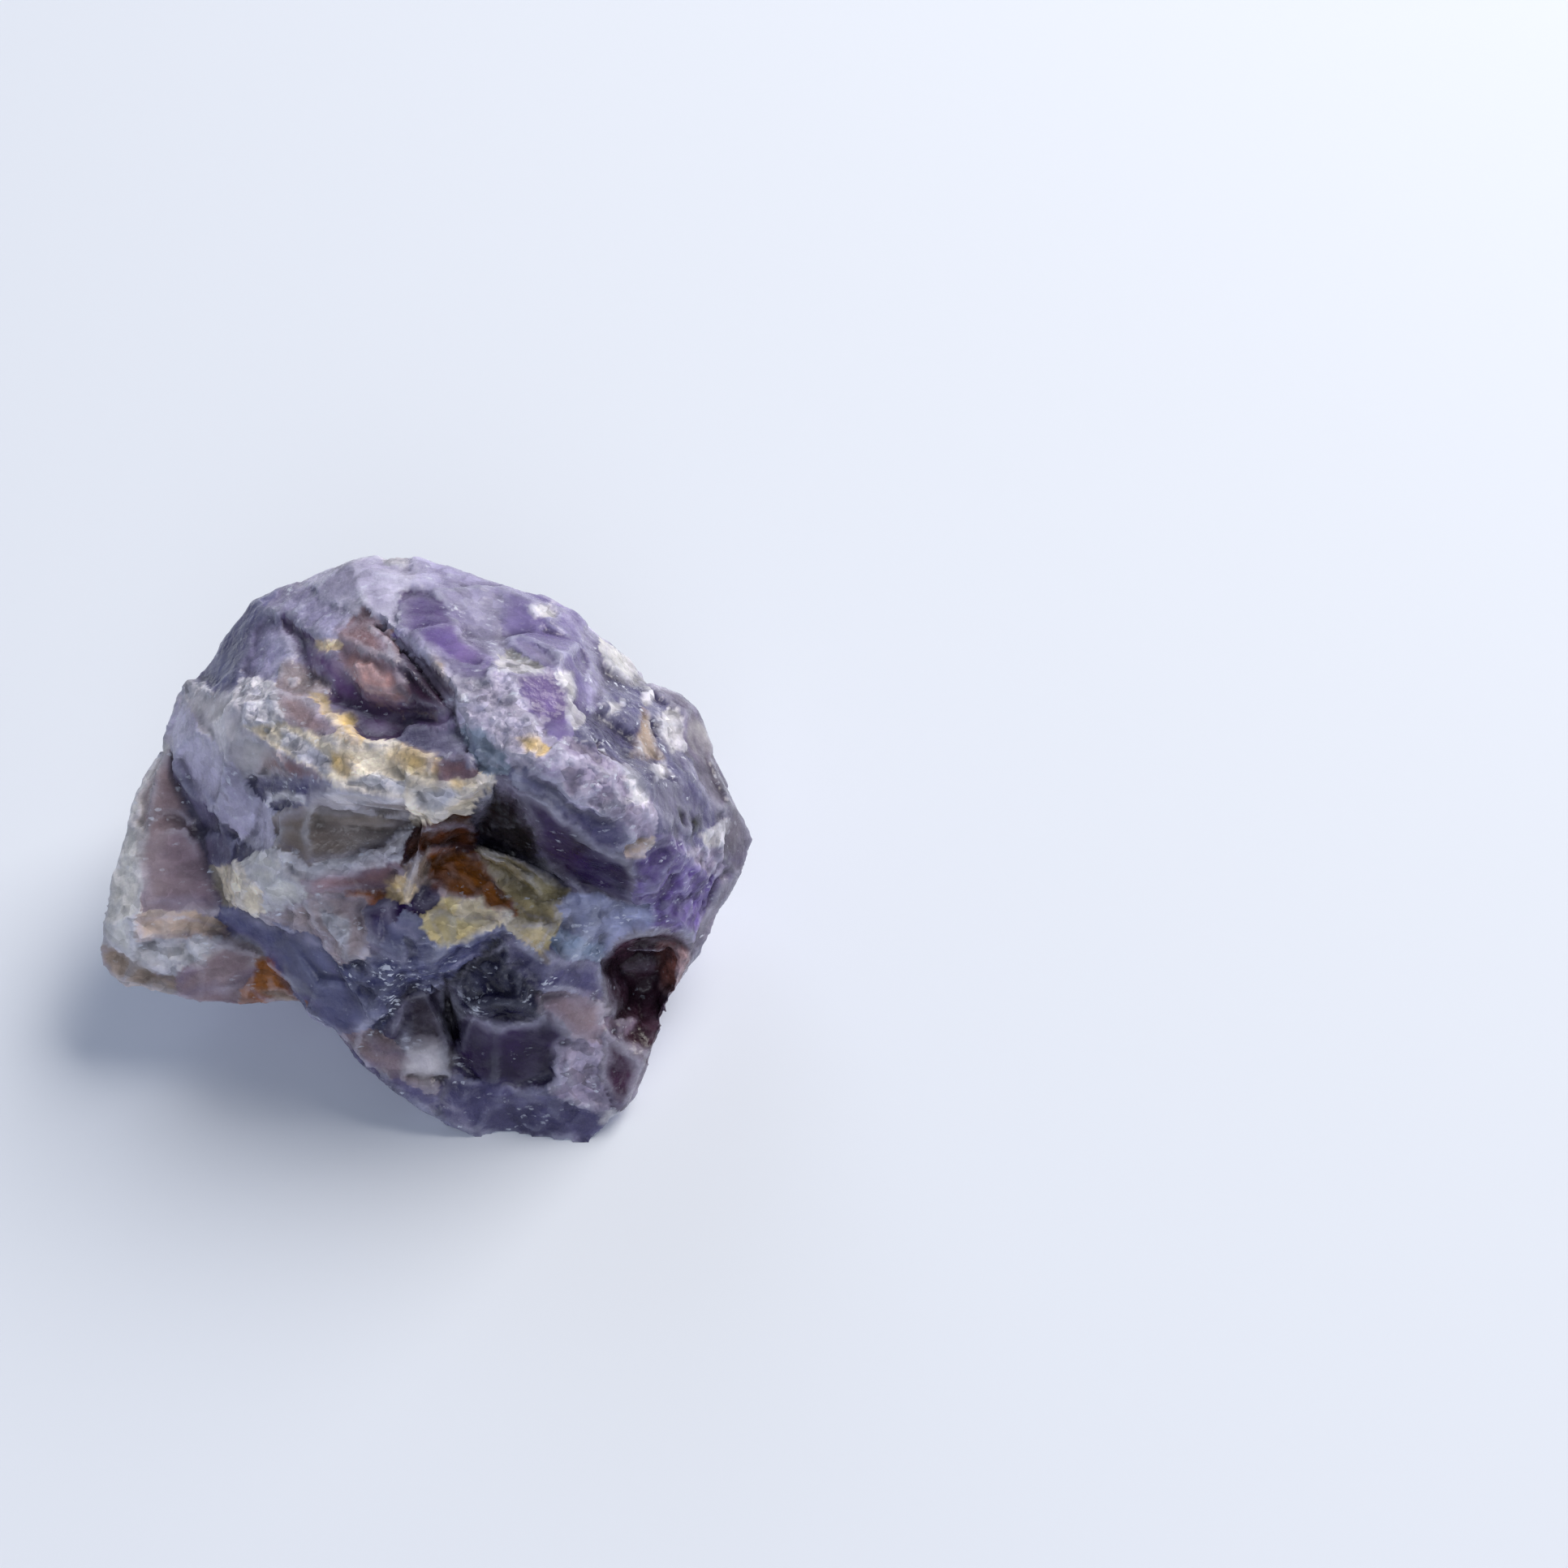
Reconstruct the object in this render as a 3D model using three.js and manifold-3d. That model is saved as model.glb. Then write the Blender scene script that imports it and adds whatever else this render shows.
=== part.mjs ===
// A rough chunk of amethyst, broken from a vein of banded quartz, in millimetres with Z up.
// It grew and broke as one piece, so it is one solid. Each broken face is a wedge that runs from
// its corners to the heart of the stone. The wedges are joined, the lobe and lumps are added,
// hollows, openings and cracks are cut, and the faces are roughened.
import * as THREE from 'three';
import { ConvexGeometry } from 'three/addons/geometries/ConvexGeometry.js';
import { SimplexNoise } from 'three/addons/math/SimplexNoise.js';
import { mergeVertices } from 'three/addons/utils/BufferGeometryUtils.js';
import Module from 'manifold-3d';

const wasm = await Module();
wasm.setup();

// The open crack between the brown plates and the lilac slab
const crackWidth = 1.1;
const crackDepth = 5;
// The finer crack beside the pink facet
const darkLineWidth = 1.6;
const darkLineDepth = 3;
// Faces are split until no edge is longer than this, then pushed by bumps of two sizes
const longestEdge = 3.2;
const bumps = [{ spacing: 9, height: 0.55 }, { spacing: 3.5, height: 0.32 }];
const noiseSeed = 5;
const noiseShift = 31;
// Points closer than this are one point
const sameSpot = 1e-4;
// The flat on the floor is cut level by a block below it
const floorBlock = [120, 120, 20];

// Corners of the stone as it rests, picked on its ridges and ends
const corner = {
  // Crown and knob
  knobTop: [-6.5, 26, 36],
  knobLeft: [-8, 24.5, 35.5],
  knobRight: [-2, 25, 35.5],
  knobFootLeft: [-5.5, 18, 37],
  knobFoot: [-3, 14.5, 38],
  crownNotch: [-9.5, 25.5, 34],
  crownLeft: [-13, 26, 33.5],
  crownCorner: [-16, 25.5, 32],
  lavenderMid: [-11.5, 21, 34.5],
  lavenderLow: [-7.5, 17.5, 36],
  brownTop: [-6.5, 15, 36.5],
  flakeStep: [-11, 15, 34.5],
  // Dark brow facet on the upper left
  browOut1: [-19.5, 25, 29.5],
  browOut2: [-23, 21.5, 27.5],
  browOut3: [-26, 18, 25.5],
  browRidge1: [-16.5, 22, 32],
  browRidge2: [-17.5, 16.5, 31],
  browRidge3: [-19.5, 13.5, 29.5],
  browFoot: [-23.5, 17, 27.5],
  // White frosted lump
  frostTop: [-15, 11.5, 32.5],
  frostRight: [-12.5, 8, 33],
  frostLow: [-13.5, 6.5, 32],
  // Left strip and seam with the lobe
  stripTop: [-27, 17.5, 25],
  stripOut: [-28.5, 14, 22.5],
  stripIn1: [-23.5, 13.5, 27],
  stripIn2: [-19.5, 6.5, 27],
  stripIn3: [-14.5, 0, 25],
  stripFoot1: [-25.5, 8, 20],
  stripFoot2: [-18.5, 1, 20.5],
  seamMid: [-22.5, 2, 17],
  seamLow: [-21, -1.5, 15],
  slateCorner: [-20, -4.5, 13.5],
  // Cream rim
  rim0: [-17.5, 7.5, 30],
  rim1: [-13, 3.5, 31],
  rim2: [-7.5, -0.5, 32],
  rim3: [-3.5, -2.5, 33],
  rim4: [1.5, -4, 33],
  rimTip: [8, -4, 35.5],
  rimBack1: [-7, 2.5, 34],
  rimBack2: [-2.5, 0.5, 35],
  rimBack3: [3.5, 0.5, 36.5],
  // Purple window
  window1: [-13.5, 18, 33],
  window2: [-9.5, 10, 33],
  window3: [-5, 4, 33.5],
  window4: [-3.5, 6.5, 34],
  window5: [4, 3.5, 36.5],
  // Brown plates
  plate1: [-7.5, 12.5, 35.5],
  plate2: [-4.5, 7, 35.5],
  plate3: [-1.5, 5.5, 36],
  plate4: [3.5, 4, 37.5],
  plate5: [-2, 11, 37.5],
  // Lilac slab
  slabEdge1: [-1, 11.5, 38],
  slabEdge2: [1.5, 7.5, 38.5],
  slabEdge3: [4, 4.5, 38.5],
  slabEdge4: [5.5, 0.5, 37.5],
  slabEdge5: [8, -3.5, 36.5],
  slabTop1: [1.5, 24.5, 35],
  slabTop2: [6, 23.5, 34],
  slabTop3: [10, 22.5, 33],
  slabTop4: [13, 22.5, 31.5],
  slabMid: [6.5, 10, 38],
  slabRidge1: [10, 17.5, 35],
  slabRidge2: [13.5, 8.5, 37.5],
  slabRidge3: [14.5, 4.5, 37.5],
  slabRidge4: [15.5, 1, 37],
  slabRim1: [16.5, 19.5, 29.5],
  slabRim2: [17, 11.5, 32],
  slabRim3: [16.5, 6, 33.5],
  rockTop: [9, 4, 39.5],
  rockLow: [11, -2.5, 38],
  // Right shoulder
  midLump: [17.5, 20, 28],
  notch: [20.5, 16, 27],
  shoulder1: [22.5, 18, 25.5],
  shoulder2: [25, 16.5, 24],
  outR1: [25.5, 15, 22.5],
  outR2: [28, 11, 19.5],
  outR3: [29.5, 8, 18],
  outR4: [31, 5.5, 15.5],
  outR5: [30.5, 4, 14],
  outR6: [28.5, 0, 12.5],
  outR7: [27, -2.5, 11],
  outR8: [24.5, -6, 9],
  outR9: [22.5, -9, 7],
  shoulderMid1: [18.5, 5.5, 32],
  shoulderMid2: [23.5, 4.5, 27.5],
  shoulderMid3: [26.5, 0.5, 22.5],
  rimInner: [28, 1.5, 17.5],
  // Ledge
  ledge0: [12, -3, 37.5],
  ledge1: [15, -3, 37.5],
  ledge2: [16.5, -0.5, 37],
  ledge3: [20.5, -2, 34.5],
  ledge4: [22, -1.5, 32.5],
  ledge5: [23.5, -4.5, 27],
  ledgeFoot0: [8, -3.5, 35],
  ledgeFoot1: [11.5, -5, 33.5],
  ledgeFoot2: [16, -6.5, 31],
  ledgeFoot3: [19.5, -7, 29],
  // Purple facet
  purple0: [9, 1, 22],
  purple1: [13.5, -3.5, 19.5],
  purple2: [17, -5.5, 21.5],
  purple3: [21.5, -6, 20],
  purple4: [27.5, 1, 16.5],
  purple5: [25, -2, 24],
  purple6: [26.5, -1.5, 13],
  // Arch
  arch0: [17, -7, 13.5],
  arch1: [19, -6, 15.5],
  arch2: [21.5, -5, 16],
  arch3: [24.5, -4.5, 13],
  glitter: [14.5, -8.5, 16.5],
  greyCorner: [13, -6.5, 19.5],
  // Shelf
  shelf0: [-0.5, -4, 24.5],
  shelf1: [5.5, 0.5, 21.5],
  shelf2: [9.5, -8, 20],
  shelf3: [6, -10, 20.5],
  shelf4: [2.5, -11, 20.5],
  shelf5: [-1, -8, 22.5],
  // Hollow facet
  lip0: [-12.5, -4, 25],
  lip1: [-10.5, -5.5, 23.5],
  lip2: [-2, -5.5, 24.5],
  // Cream lumps
  cream0: [-21.5, 0.5, 17.5],
  cream1: [-15, -4, 22.5],
  cream2: [-15.5, -5.5, 17.5],
  cream3: [-18, -4.5, 15.5],
  cream4: [-9, -8.5, 17],
  cream5: [-4.5, -10, 17.5],
  // Slate band
  slateTop1: [-20, -2, 15.5],
  slateTop2: [-12.5, -6.5, 16],
  slateTop3: [-8.5, -8.5, 16.5],
  slateTop4: [-1, -11.5, 18],
  slateTop5: [3.5, -10.5, 19.5],
  slateLow1: [-15.5, -6, 12.5],
  slateLow2: [-12.5, -10.5, 9.5],
  slateLow3: [-9.5, -12.5, 8],
  slateLow4: [-6.5, -13, 9],
  slateLow5: [-2.5, -11, 12],
  slateLow6: [0.5, -10.5, 14.5],
  slateLow7: [4, -10, 16],
  slateLow8: [7, -8.5, 19],
  // Lower front
  pink1: [0, -9, 10.5],
  pink2: [2, -13.5, 6.5],
  pink3: [1.5, -15.5, 4.5],
  outB3: [-7.5, -14.5, 6.5],
  outB4: [-5.5, -15, 6],
  outB5: [-3, -16, 5],
  outB6: [-1, -17, 4],
  outB7: [1.5, -19, 1],
  toe1: [4, -19, -0.5],
  toe2: [6.5, -19.5, -0.5],
  toe3: [14.5, -19.5, -0.5],
  toe4: [17, -18.5, 0.5],
  toe5: [18.5, -17.5, 1],
  footR: [20, -14.5, 5],
  block1: [6, -10, 15.5],
  block2: [9, -10, 16],
  block3: [11, -12, 12.5],
  block4: [7.5, -13.5, 11.5],
  block5: [4, -12.5, 12],
  low1: [12.5, -13, 11.5],
  low2: [12.5, -14.5, 8],
  nose1: [5, -16, 4.5],
  nose2: [12.5, -17, 4],
  nose3: [16, -17, 4],
  jamb1: [16.5, -9, 11.5],
  jamb2: [16, -12.5, 8.5],
  jamb3: [15.5, -15, 6.5],
  // Lobe
  lobe1: [-29, 14, 20],
  lobe2: [-30, 11.5, 19],
  lobe3: [-31, 7, 17],
  lobe4: [-32, 4, 16],
  lobe5: [-32.5, 1.5, 15],
  lobe6: [-33, 0, 14],
  lobe7: [-33, -3.5, 12.5],
  lobe8: [-33.5, -5, 11],
  lobe9: [-33, -6.5, 10],
  lobe10: [-31, -7.5, 9],
  lobe11: [-25.5, -8.5, 8],
  lobe12: [-21.5, -8, 9],
  lobe13: [-15.5, -9, 8],
  lobe14: [-13.5, -9, 7.5],
  lobeIn1: [-27.5, 12, 21],
  lobeIn2: [-29, 4, 18.5],
  lobeIn3: [-28.5, -3.5, 16],
  lobeFold1: [-28.5, -5.5, 14],
  lobeFold2: [-20.5, -5, 14],
  // Back and underside
  back1: [-16, 28.5, 26],
  back2: [-1, 31, 25],
  back3: [11, 28, 23],
  back4: [21, 22, 18],
  back5: [28.5, 13, 11],
  backLow1: [-13, 26, 9],
  backLow2: [2, 29, 5],
  backLow3: [15, 23, 7],
  backLow4: [22, 15, 4],
  backLow5: [24.5, 3, 4],
  leftBack1: [-26, 20, 18],
  leftBack2: [-23, 20, 8],
  leftBack3: [-20, 6, 5],
  leftBack4: [-16, -3, 6],
  base1: [-9, 20, -1],
  base2: [4, 23.5, -1],
  base3: [15, 19, -1],
  base4: [19.5, 7, -1],
  base5: [19, -6, -1],
  base6: [2, -13, -1],
  base7: [-6, -8, -1],
  base8: [-11.5, -2, -1],
  base9: [-14.5, 9, -1],
};

// A small block in the middle, which every wedge reaches
const heart = [[0, 2, 20], [-5, 7, 14], [5, 7, 14], [0, 0, 12]];

// Broken faces by their corners, over the crown, the left side and the cream rim
const crownFaces = [
  ['knobTop', 'knobLeft', 'knobFootLeft', 'knobFoot', 'knobRight'],
  ['crownNotch', 'crownLeft', 'lavenderMid', 'lavenderLow', 'knobFootLeft', 'knobLeft'],
  ['crownCorner', 'crownLeft', 'lavenderMid', 'window1', 'browRidge1'],
  ['lavenderMid', 'flakeStep', 'window1'],
  ['lavenderMid', 'lavenderLow', 'brownTop', 'plate1', 'flakeStep'],
  ['knobFootLeft', 'knobFoot', 'brownTop', 'lavenderLow'],
  ['knobFoot', 'plate5', 'plate1', 'brownTop'],
  ['plate1', 'plate2', 'plate3', 'plate4', 'plate5'],
  ['window1', 'flakeStep', 'plate1', 'plate2', 'window4', 'window2'],
  ['window2', 'window4', 'window3'],
  ['window3', 'window4', 'window5', 'rimBack3', 'rimBack2'],
  ['plate2', 'plate3', 'plate4', 'window5', 'window4'],
];
const leftFaces = [
  ['browOut1', 'crownCorner', 'browRidge1', 'browRidge2', 'browOut2'],
  ['browOut2', 'browRidge2', 'browRidge3', 'browFoot', 'browOut3'],
  ['browRidge1', 'window1', 'window2', 'frostRight', 'frostTop', 'browRidge2'],
  ['browRidge2', 'browRidge3', 'rim0', 'frostTop'],
  ['frostTop', 'frostRight', 'frostLow', 'rim0'],
  ['browOut3', 'stripTop', 'browFoot'],
  ['stripTop', 'stripOut', 'stripFoot1', 'stripFoot2', 'stripIn3', 'stripIn2', 'stripIn1'],
  ['browFoot', 'browRidge3', 'rim0', 'stripIn1', 'stripTop'],
  ['rim0', 'rim1', 'stripIn3', 'stripIn2', 'stripIn1'],
  ['stripFoot1', 'stripFoot2', 'cream0', 'seamMid'],
];
const rimFaces = [
  ['rim0', 'frostLow', 'frostRight', 'rimBack1', 'rim1'],
  ['rim1', 'rimBack1', 'rimBack2', 'rim3', 'rim2'],
  ['rim3', 'rimBack2', 'rimBack3', 'rim4'],
  ['rim4', 'rimBack3', 'rimTip'],
  ['frostRight', 'window2', 'window3', 'rimBack1'],
  ['rimBack1', 'window3', 'rimBack2'],
  ['rimBack3', 'window5', 'plate4', 'rimTip'],
  ['rim1', 'rim2', 'lip0', 'stripIn3'],
  ['rim2', 'rim3', 'rim4', 'lip2', 'lip1', 'lip0'],
];

// Faces of the cream lumps, the slate band, the ochre shelf and the recess behind it
const creamFaces = [
  ['stripFoot2', 'stripIn3', 'lip0', 'cream1', 'cream0'],
  ['cream0', 'cream1', 'cream2', 'cream3', 'slateTop1', 'seamLow', 'seamMid'],
  ['cream1', 'lip0', 'lip1', 'cream2'],
  ['lip1', 'lip2', 'shelf5', 'cream5', 'cream4', 'slateTop2', 'cream2'],
];
const slateFaces = [
  ['slateTop1', 'cream3', 'slateTop2', 'slateLow1', 'slateCorner', 'seamLow'],
  ['slateTop2', 'slateTop3', 'slateLow3', 'slateLow2', 'slateLow1'],
  ['slateTop3', 'slateTop4', 'slateLow5', 'slateLow4', 'slateLow3'],
  ['slateTop4', 'slateTop5', 'slateLow8', 'slateLow7', 'slateLow6', 'slateLow5'],
  ['cream4', 'cream5', 'slateTop4', 'slateTop3'],
];
const shelfFaces = [
  ['shelf5', 'shelf4', 'slateTop5', 'slateTop4', 'cream5'],
  ['shelf4', 'shelf3', 'slateLow8', 'slateTop5'],
  ['rim4', 'shelf0', 'shelf1', 'rimTip'],
  ['shelf0', 'shelf1', 'purple1', 'greyCorner', 'shelf2', 'shelf3', 'shelf4', 'shelf5'],
  ['lip2', 'shelf0', 'shelf5', 'rim4'],
  ['rimTip', 'ledgeFoot0', 'purple0', 'shelf1'],
  ['shelf1', 'purple0', 'purple1'],
];

// Faces of the lilac slab, the frosted ledge, the purple glass below it and the right shoulder
const slabFaces = [
  ['knobRight', 'knobFoot', 'slabEdge1', 'slabMid', 'slabTop1'],
  ['slabTop1', 'slabMid', 'slabRidge1', 'slabTop3', 'slabTop2'],
  ['slabEdge1', 'slabEdge2', 'slabEdge3', 'rockTop', 'slabMid'],
  ['slabMid', 'rockTop', 'slabRidge3', 'slabRidge2', 'slabRidge1'],
  ['rockTop', 'slabRidge3', 'slabRidge4', 'ledge1', 'ledge0', 'rockLow'],
  ['slabEdge3', 'slabEdge4', 'slabEdge5', 'ledge0', 'rockLow', 'rockTop'],
  ['slabTop3', 'slabTop4', 'slabRim1', 'slabRidge1'],
  ['slabRidge1', 'slabRim1', 'slabRim2', 'slabRidge2'],
  ['slabRidge2', 'slabRim2', 'slabRim3', 'slabRidge3'],
  ['slabRidge3', 'slabRim3', 'slabRidge4'],
];
const ledgeFaces = [
  ['ledge0', 'ledge1', 'ledgeFoot1', 'ledgeFoot0', 'slabEdge5'],
  ['ledge1', 'ledge2', 'ledge3', 'ledgeFoot3', 'ledgeFoot2', 'ledgeFoot1'],
  ['ledge3', 'ledge4', 'ledge5', 'ledgeFoot3'],
  ['ledgeFoot0', 'ledgeFoot1', 'ledgeFoot2', 'purple2', 'purple1', 'purple0'],
  ['ledgeFoot2', 'ledgeFoot3', 'purple3', 'purple2'],
  ['ledgeFoot3', 'ledge5', 'purple5', 'purple4', 'purple6', 'purple3'],
];
const shoulderFaces = [
  ['slabRim1', 'midLump', 'notch', 'slabRim2'],
  ['slabRim2', 'notch', 'shoulderMid1', 'slabRim3'],
  ['slabRim3', 'shoulderMid1', 'ledge2', 'slabRidge4'],
  ['slabRidge4', 'ledge2', 'ledge1'],
  ['ledge2', 'shoulderMid1', 'shoulderMid2', 'ledge4', 'ledge3'],
  ['notch', 'shoulder1', 'shoulder2', 'outR1', 'shoulderMid2', 'shoulderMid1'],
  ['outR1', 'outR2', 'outR3', 'shoulderMid3', 'shoulderMid2'],
  ['shoulderMid2', 'shoulderMid3', 'purple5', 'ledge5', 'ledge4'],
  ['outR3', 'outR4', 'outR5', 'rimInner', 'shoulderMid3'],
  ['rimInner', 'outR5', 'outR6', 'outR7', 'purple6', 'purple4'],
  ['shoulderMid3', 'rimInner', 'purple4', 'purple5'],
];

// Faces of the grey quartz, the lower front with its pink facet, and the foot
const quartzFaces = [
  ['purple1', 'purple2', 'arch0', 'glitter', 'greyCorner'],
  ['purple2', 'purple3', 'arch2', 'arch1', 'arch0'],
  ['purple3', 'purple6', 'arch3', 'arch2'],
  ['purple6', 'outR7', 'outR8', 'arch3'],
  ['arch0', 'jamb1', 'jamb2', 'footR', 'outR9', 'outR8', 'arch3', 'arch2', 'arch1'],
];
const frontFaces = [
  ['shelf2', 'greyCorner', 'glitter', 'jamb1', 'low1', 'block3', 'block2'],
  ['shelf3', 'shelf2', 'block2', 'block1', 'slateLow8'],
  ['block1', 'block2', 'block3', 'block4', 'block5'],
  ['glitter', 'arch0', 'jamb1'],
  ['jamb1', 'jamb2', 'low1'],
  ['low1', 'jamb2', 'jamb3', 'low2'],
  ['low1', 'low2', 'nose1', 'pink2', 'block5', 'block4', 'block3'],
  ['low2', 'jamb3', 'nose3', 'nose2', 'nose1'],
  ['slateLow3', 'slateLow4', 'slateLow5', 'slateLow6', 'pink1', 'pink2', 'pink3', 'outB5', 'outB4',
    'outB3'],
  ['slateLow6', 'slateLow7', 'slateLow8', 'block1', 'block5', 'pink1'],
  ['pink1', 'block5', 'pink2'],
  ['pink2', 'nose1', 'pink3'],
];
const footFaces = [
  ['pink3', 'nose1', 'nose2', 'nose3', 'toe5', 'toe4', 'toe3', 'toe2', 'toe1', 'outB7', 'outB6',
    'outB5'],
  ['jamb2', 'jamb3', 'nose3', 'toe5', 'footR'],
  ['footR', 'toe5', 'toe4', 'toe3', 'base5', 'outR9'],
  ['toe3', 'toe2', 'toe1', 'outB7', 'base6', 'base5'],
  ['outB7', 'outB6', 'outB5', 'outB4', 'outB3', 'slateLow3', 'base7', 'base6'],
  ['slateLow3', 'slateLow2', 'slateLow1', 'slateCorner', 'leftBack4', 'base8', 'base7'],
  ['base1', 'base2', 'base3', 'base4', 'base5', 'toe3', 'toe2', 'base6', 'base7', 'base8',
    'base9'],
];

// Faces that the front view doesn't show
const hiddenFaces = [
  ['leftBack4', 'leftBack3', 'base9', 'base8'],
  ['slateCorner', 'seamLow', 'seamMid', 'stripFoot1', 'leftBack3', 'leftBack4'],
  ['stripFoot1', 'stripOut', 'leftBack1', 'leftBack2', 'leftBack3'],
  ['stripOut', 'stripTop', 'browOut3', 'browOut2', 'leftBack1'],
  ['leftBack2', 'leftBack3', 'base9', 'base1', 'backLow1'],
  ['leftBack1', 'leftBack2', 'backLow1', 'back1'],
  ['browOut2', 'browOut1', 'crownCorner', 'back1', 'leftBack1'],
  ['crownCorner', 'crownLeft', 'crownNotch', 'back1'],
  ['crownNotch', 'knobLeft', 'back1'],
  ['knobLeft', 'knobTop', 'back2', 'back1'],
  ['knobTop', 'knobRight', 'slabTop1', 'slabTop2', 'back3', 'back2'],
  ['slabTop2', 'slabTop3', 'slabTop4', 'slabRim1', 'midLump', 'back4', 'back3'],
  ['midLump', 'notch', 'back4'],
  ['notch', 'shoulder1', 'back4'],
  ['shoulder1', 'shoulder2', 'outR1', 'back5', 'back4'],
  ['outR1', 'outR2', 'outR3', 'outR4', 'back5'],
  ['outR4', 'outR5', 'outR6', 'outR7', 'backLow5', 'back5'],
  ['outR7', 'outR8', 'outR9', 'base5', 'base4', 'backLow5'],
  ['back5', 'backLow5', 'base4', 'backLow4', 'back4'],
  ['backLow4', 'base4', 'base3', 'backLow3'],
  ['back4', 'backLow4', 'backLow3', 'back3'],
  ['back3', 'backLow3', 'backLow2', 'back2'],
  ['back2', 'backLow2', 'backLow1', 'back1'],
  ['backLow3', 'base3', 'base2', 'backLow2'],
  ['backLow2', 'base2', 'base1', 'backLow1'],
];

// A three.js shape as a solid that can be joined and cut
function solid(geometry) {
  const plain = geometry.clone();
  plain.deleteAttribute('normal');
  plain.deleteAttribute('uv');
  const merged = mergeVertices(plain, sameSpot);
  return new wasm.Manifold(new wasm.Mesh({
    numProp: 3,
    vertProperties: new Float32Array(merged.attributes.position.array),
    triVerts: new Uint32Array(merged.index.array),
  }));
}

function hull(points) {
  return solid(new ConvexGeometry(points.map((point) => new THREE.Vector3(...point))));
}

function joinWedges(faces) {
  let joined = hull(heart);
  for (const names of faces) {
    joined = joined.add(hull([...names.map((name) => corner[name]), ...heart]));
  }
  return joined;
}

// The lobe is a second lump of the vein that sticks out low on the left. It is two hulls that meet
// at its fold, and each is rooted in the body.
function lobe() {
  const upper = ['lobe1', 'lobe2', 'lobe3', 'lobe4', 'lobe5', 'lobe6', 'lobe7', 'lobeIn1', 'lobeIn2',
    'lobeIn3', 'lobeFold1', 'lobeFold2'];
  const lower = ['lobe7', 'lobe8', 'lobe9', 'lobe10', 'lobe11', 'lobe12', 'lobe13', 'lobe14',
    'lobeFold1', 'lobeFold2'];
  const upperRoot = [[-18, 8, 17], [-17, 0, 12], [-20, 12, 10], [-26, 9, 12], [-29, 3, 11]];
  const lowerRoot = [[-16, -4, 12], [-15, 4, 7], [-20, 9, 6.5], [-26, 6, 8], [-28, -1, 7.5]];
  const upperHull = hull([...upper.map((name) => corner[name]), ...upperRoot]);
  return upperHull.add(hull([...lower.map((name) => corner[name]), ...lowerRoot]));
}

// Blocky lumps that stand a little proud of the faces, each by its centre, half sizes and turns in
// degrees about X, then Z
const lumps = {
  creamLeft: { at: [-17.4, -2.2, 17.6], half: [2.7, 2.4, 3.2], turn: [20, 0] },
  creamMid: { at: [-13.2, -4.2, 20.4], half: [3.2, 2.2, 2.4], turn: [30, 10] },
  creamRight: { at: [-6.8, -7, 18.8], half: [3.6, 2.6, 2.4], turn: [30, -10] },
  creamEnd: { at: [-2.6, -8.2, 19.4], half: [2.5, 2.2, 2.2], turn: [30, 0] },
  roundBlock: { at: [7.9, -10.6, 13.2], half: [4, 2.8, 3.1], turn: [30, -10] },
  ledgeCrest: { at: [16.4, -2.9, 33.3], half: [4.8, 2.6, 2.8], turn: [20, -25] },
  frostedLump: { at: [-14.4, 9.8, 30.2], half: [3.7, 3.5, 2.7], turn: [0, 30] },
};

// Shell-shaped hollows, each by its centre, half sizes and turns in degrees about X, then Z
const hollows = {
  shell: { at: [-6.6, -4.3, 28.1], half: [7.6, 3.8, 3.4], turn: [53, 10] },
  shellEnd: { at: [-0.8, -5.2, 30.2], half: [2.6, 2.2, 2], turn: [53, 20] },
  ledgeBay: { at: [18.5, -0.6, 38.3], half: [3.4, 2.4, 2.2], turn: [0, -30] },
  slabDish: { at: [3, 18, 39.8], half: [6, 4, 2.2], turn: [0, -40] },
  purpleBay: { at: [14.5, -8, 27], half: [4.5, 2.6, 5], turn: [10, -20] },
  backDish: { at: [13, 33.5, 20], half: [8, 5, 6], turn: [0, -30] },
  backCup: { at: [-13, 33.5, 21], half: [6, 5, 4.5], turn: [0, 20] },
  leftCup: { at: [-28, 24, 14], half: [6, 5, 5], turn: [0, 40] },
  rightCup: { at: [31, 5, 6], half: [5, 6, 3], turn: [0, 0] },
  backPit: { at: [-4, 33, 8], half: [7, 4, 4], turn: [0, 0] },
};

// The arched opening low on the right, the gap below the knob and the bay in the right outline
const openings = {
  arch: [[16.8, -9, 14], [18.8, -8, 16.2], [21.3, -7.5, 16.6], [24.2, -7, 13.4], [24.6, -8, 10.5],
    [22.6, -11, 7.5], [20.2, -15, 7], [17.4, -15, 8], [16.2, -14, 9.5], [18, -4.8, 9],
    [20.6, -4, 10], [22.8, -4.5, 8.5], [18.6, -7.5, 6], [20.8, -8.5, 5]],
  crownBay: [[-10, 27.5, 36.5], [-8, 27.5, 36.5], [-8.6, 22, 37.5], [-8.8, 26, 34], [-9, 23, 35]],
  shoulderBay: [[19, 17.5, 30.5], [22, 17.5, 29], [20.3, 14, 30], [20.6, 20, 25], [20.4, 15, 27]],
};

const crackPath = [[-5.3, 15.8, 38.2], [-3.6, 13.7, 38.2], [-1.3, 11.1, 38.2], [1.4, 7.2, 38.4],
  [3.8, 4, 38.2], [5.7, 0.2, 37.4], [8.3, -4.4, 36]];
const crackInward = [0.15, 0.1, -1];
const darkLinePath = [[-0.3, -10.5, 13], [1.2, -12, 10.5], [2.2, -14.8, 7.5]];
const darkLineInward = [0.2, 0.8, -0.4];

// A ball of flat faces, stretched to its half sizes, turned and put in its place
function stretched(shape, { at, half, turn }) {
  shape.scale(...half);
  shape.rotateX(THREE.MathUtils.degToRad(turn[0]));
  shape.rotateZ(THREE.MathUtils.degToRad(turn[1]));
  shape.translate(...at);
  return solid(shape);
}

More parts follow.
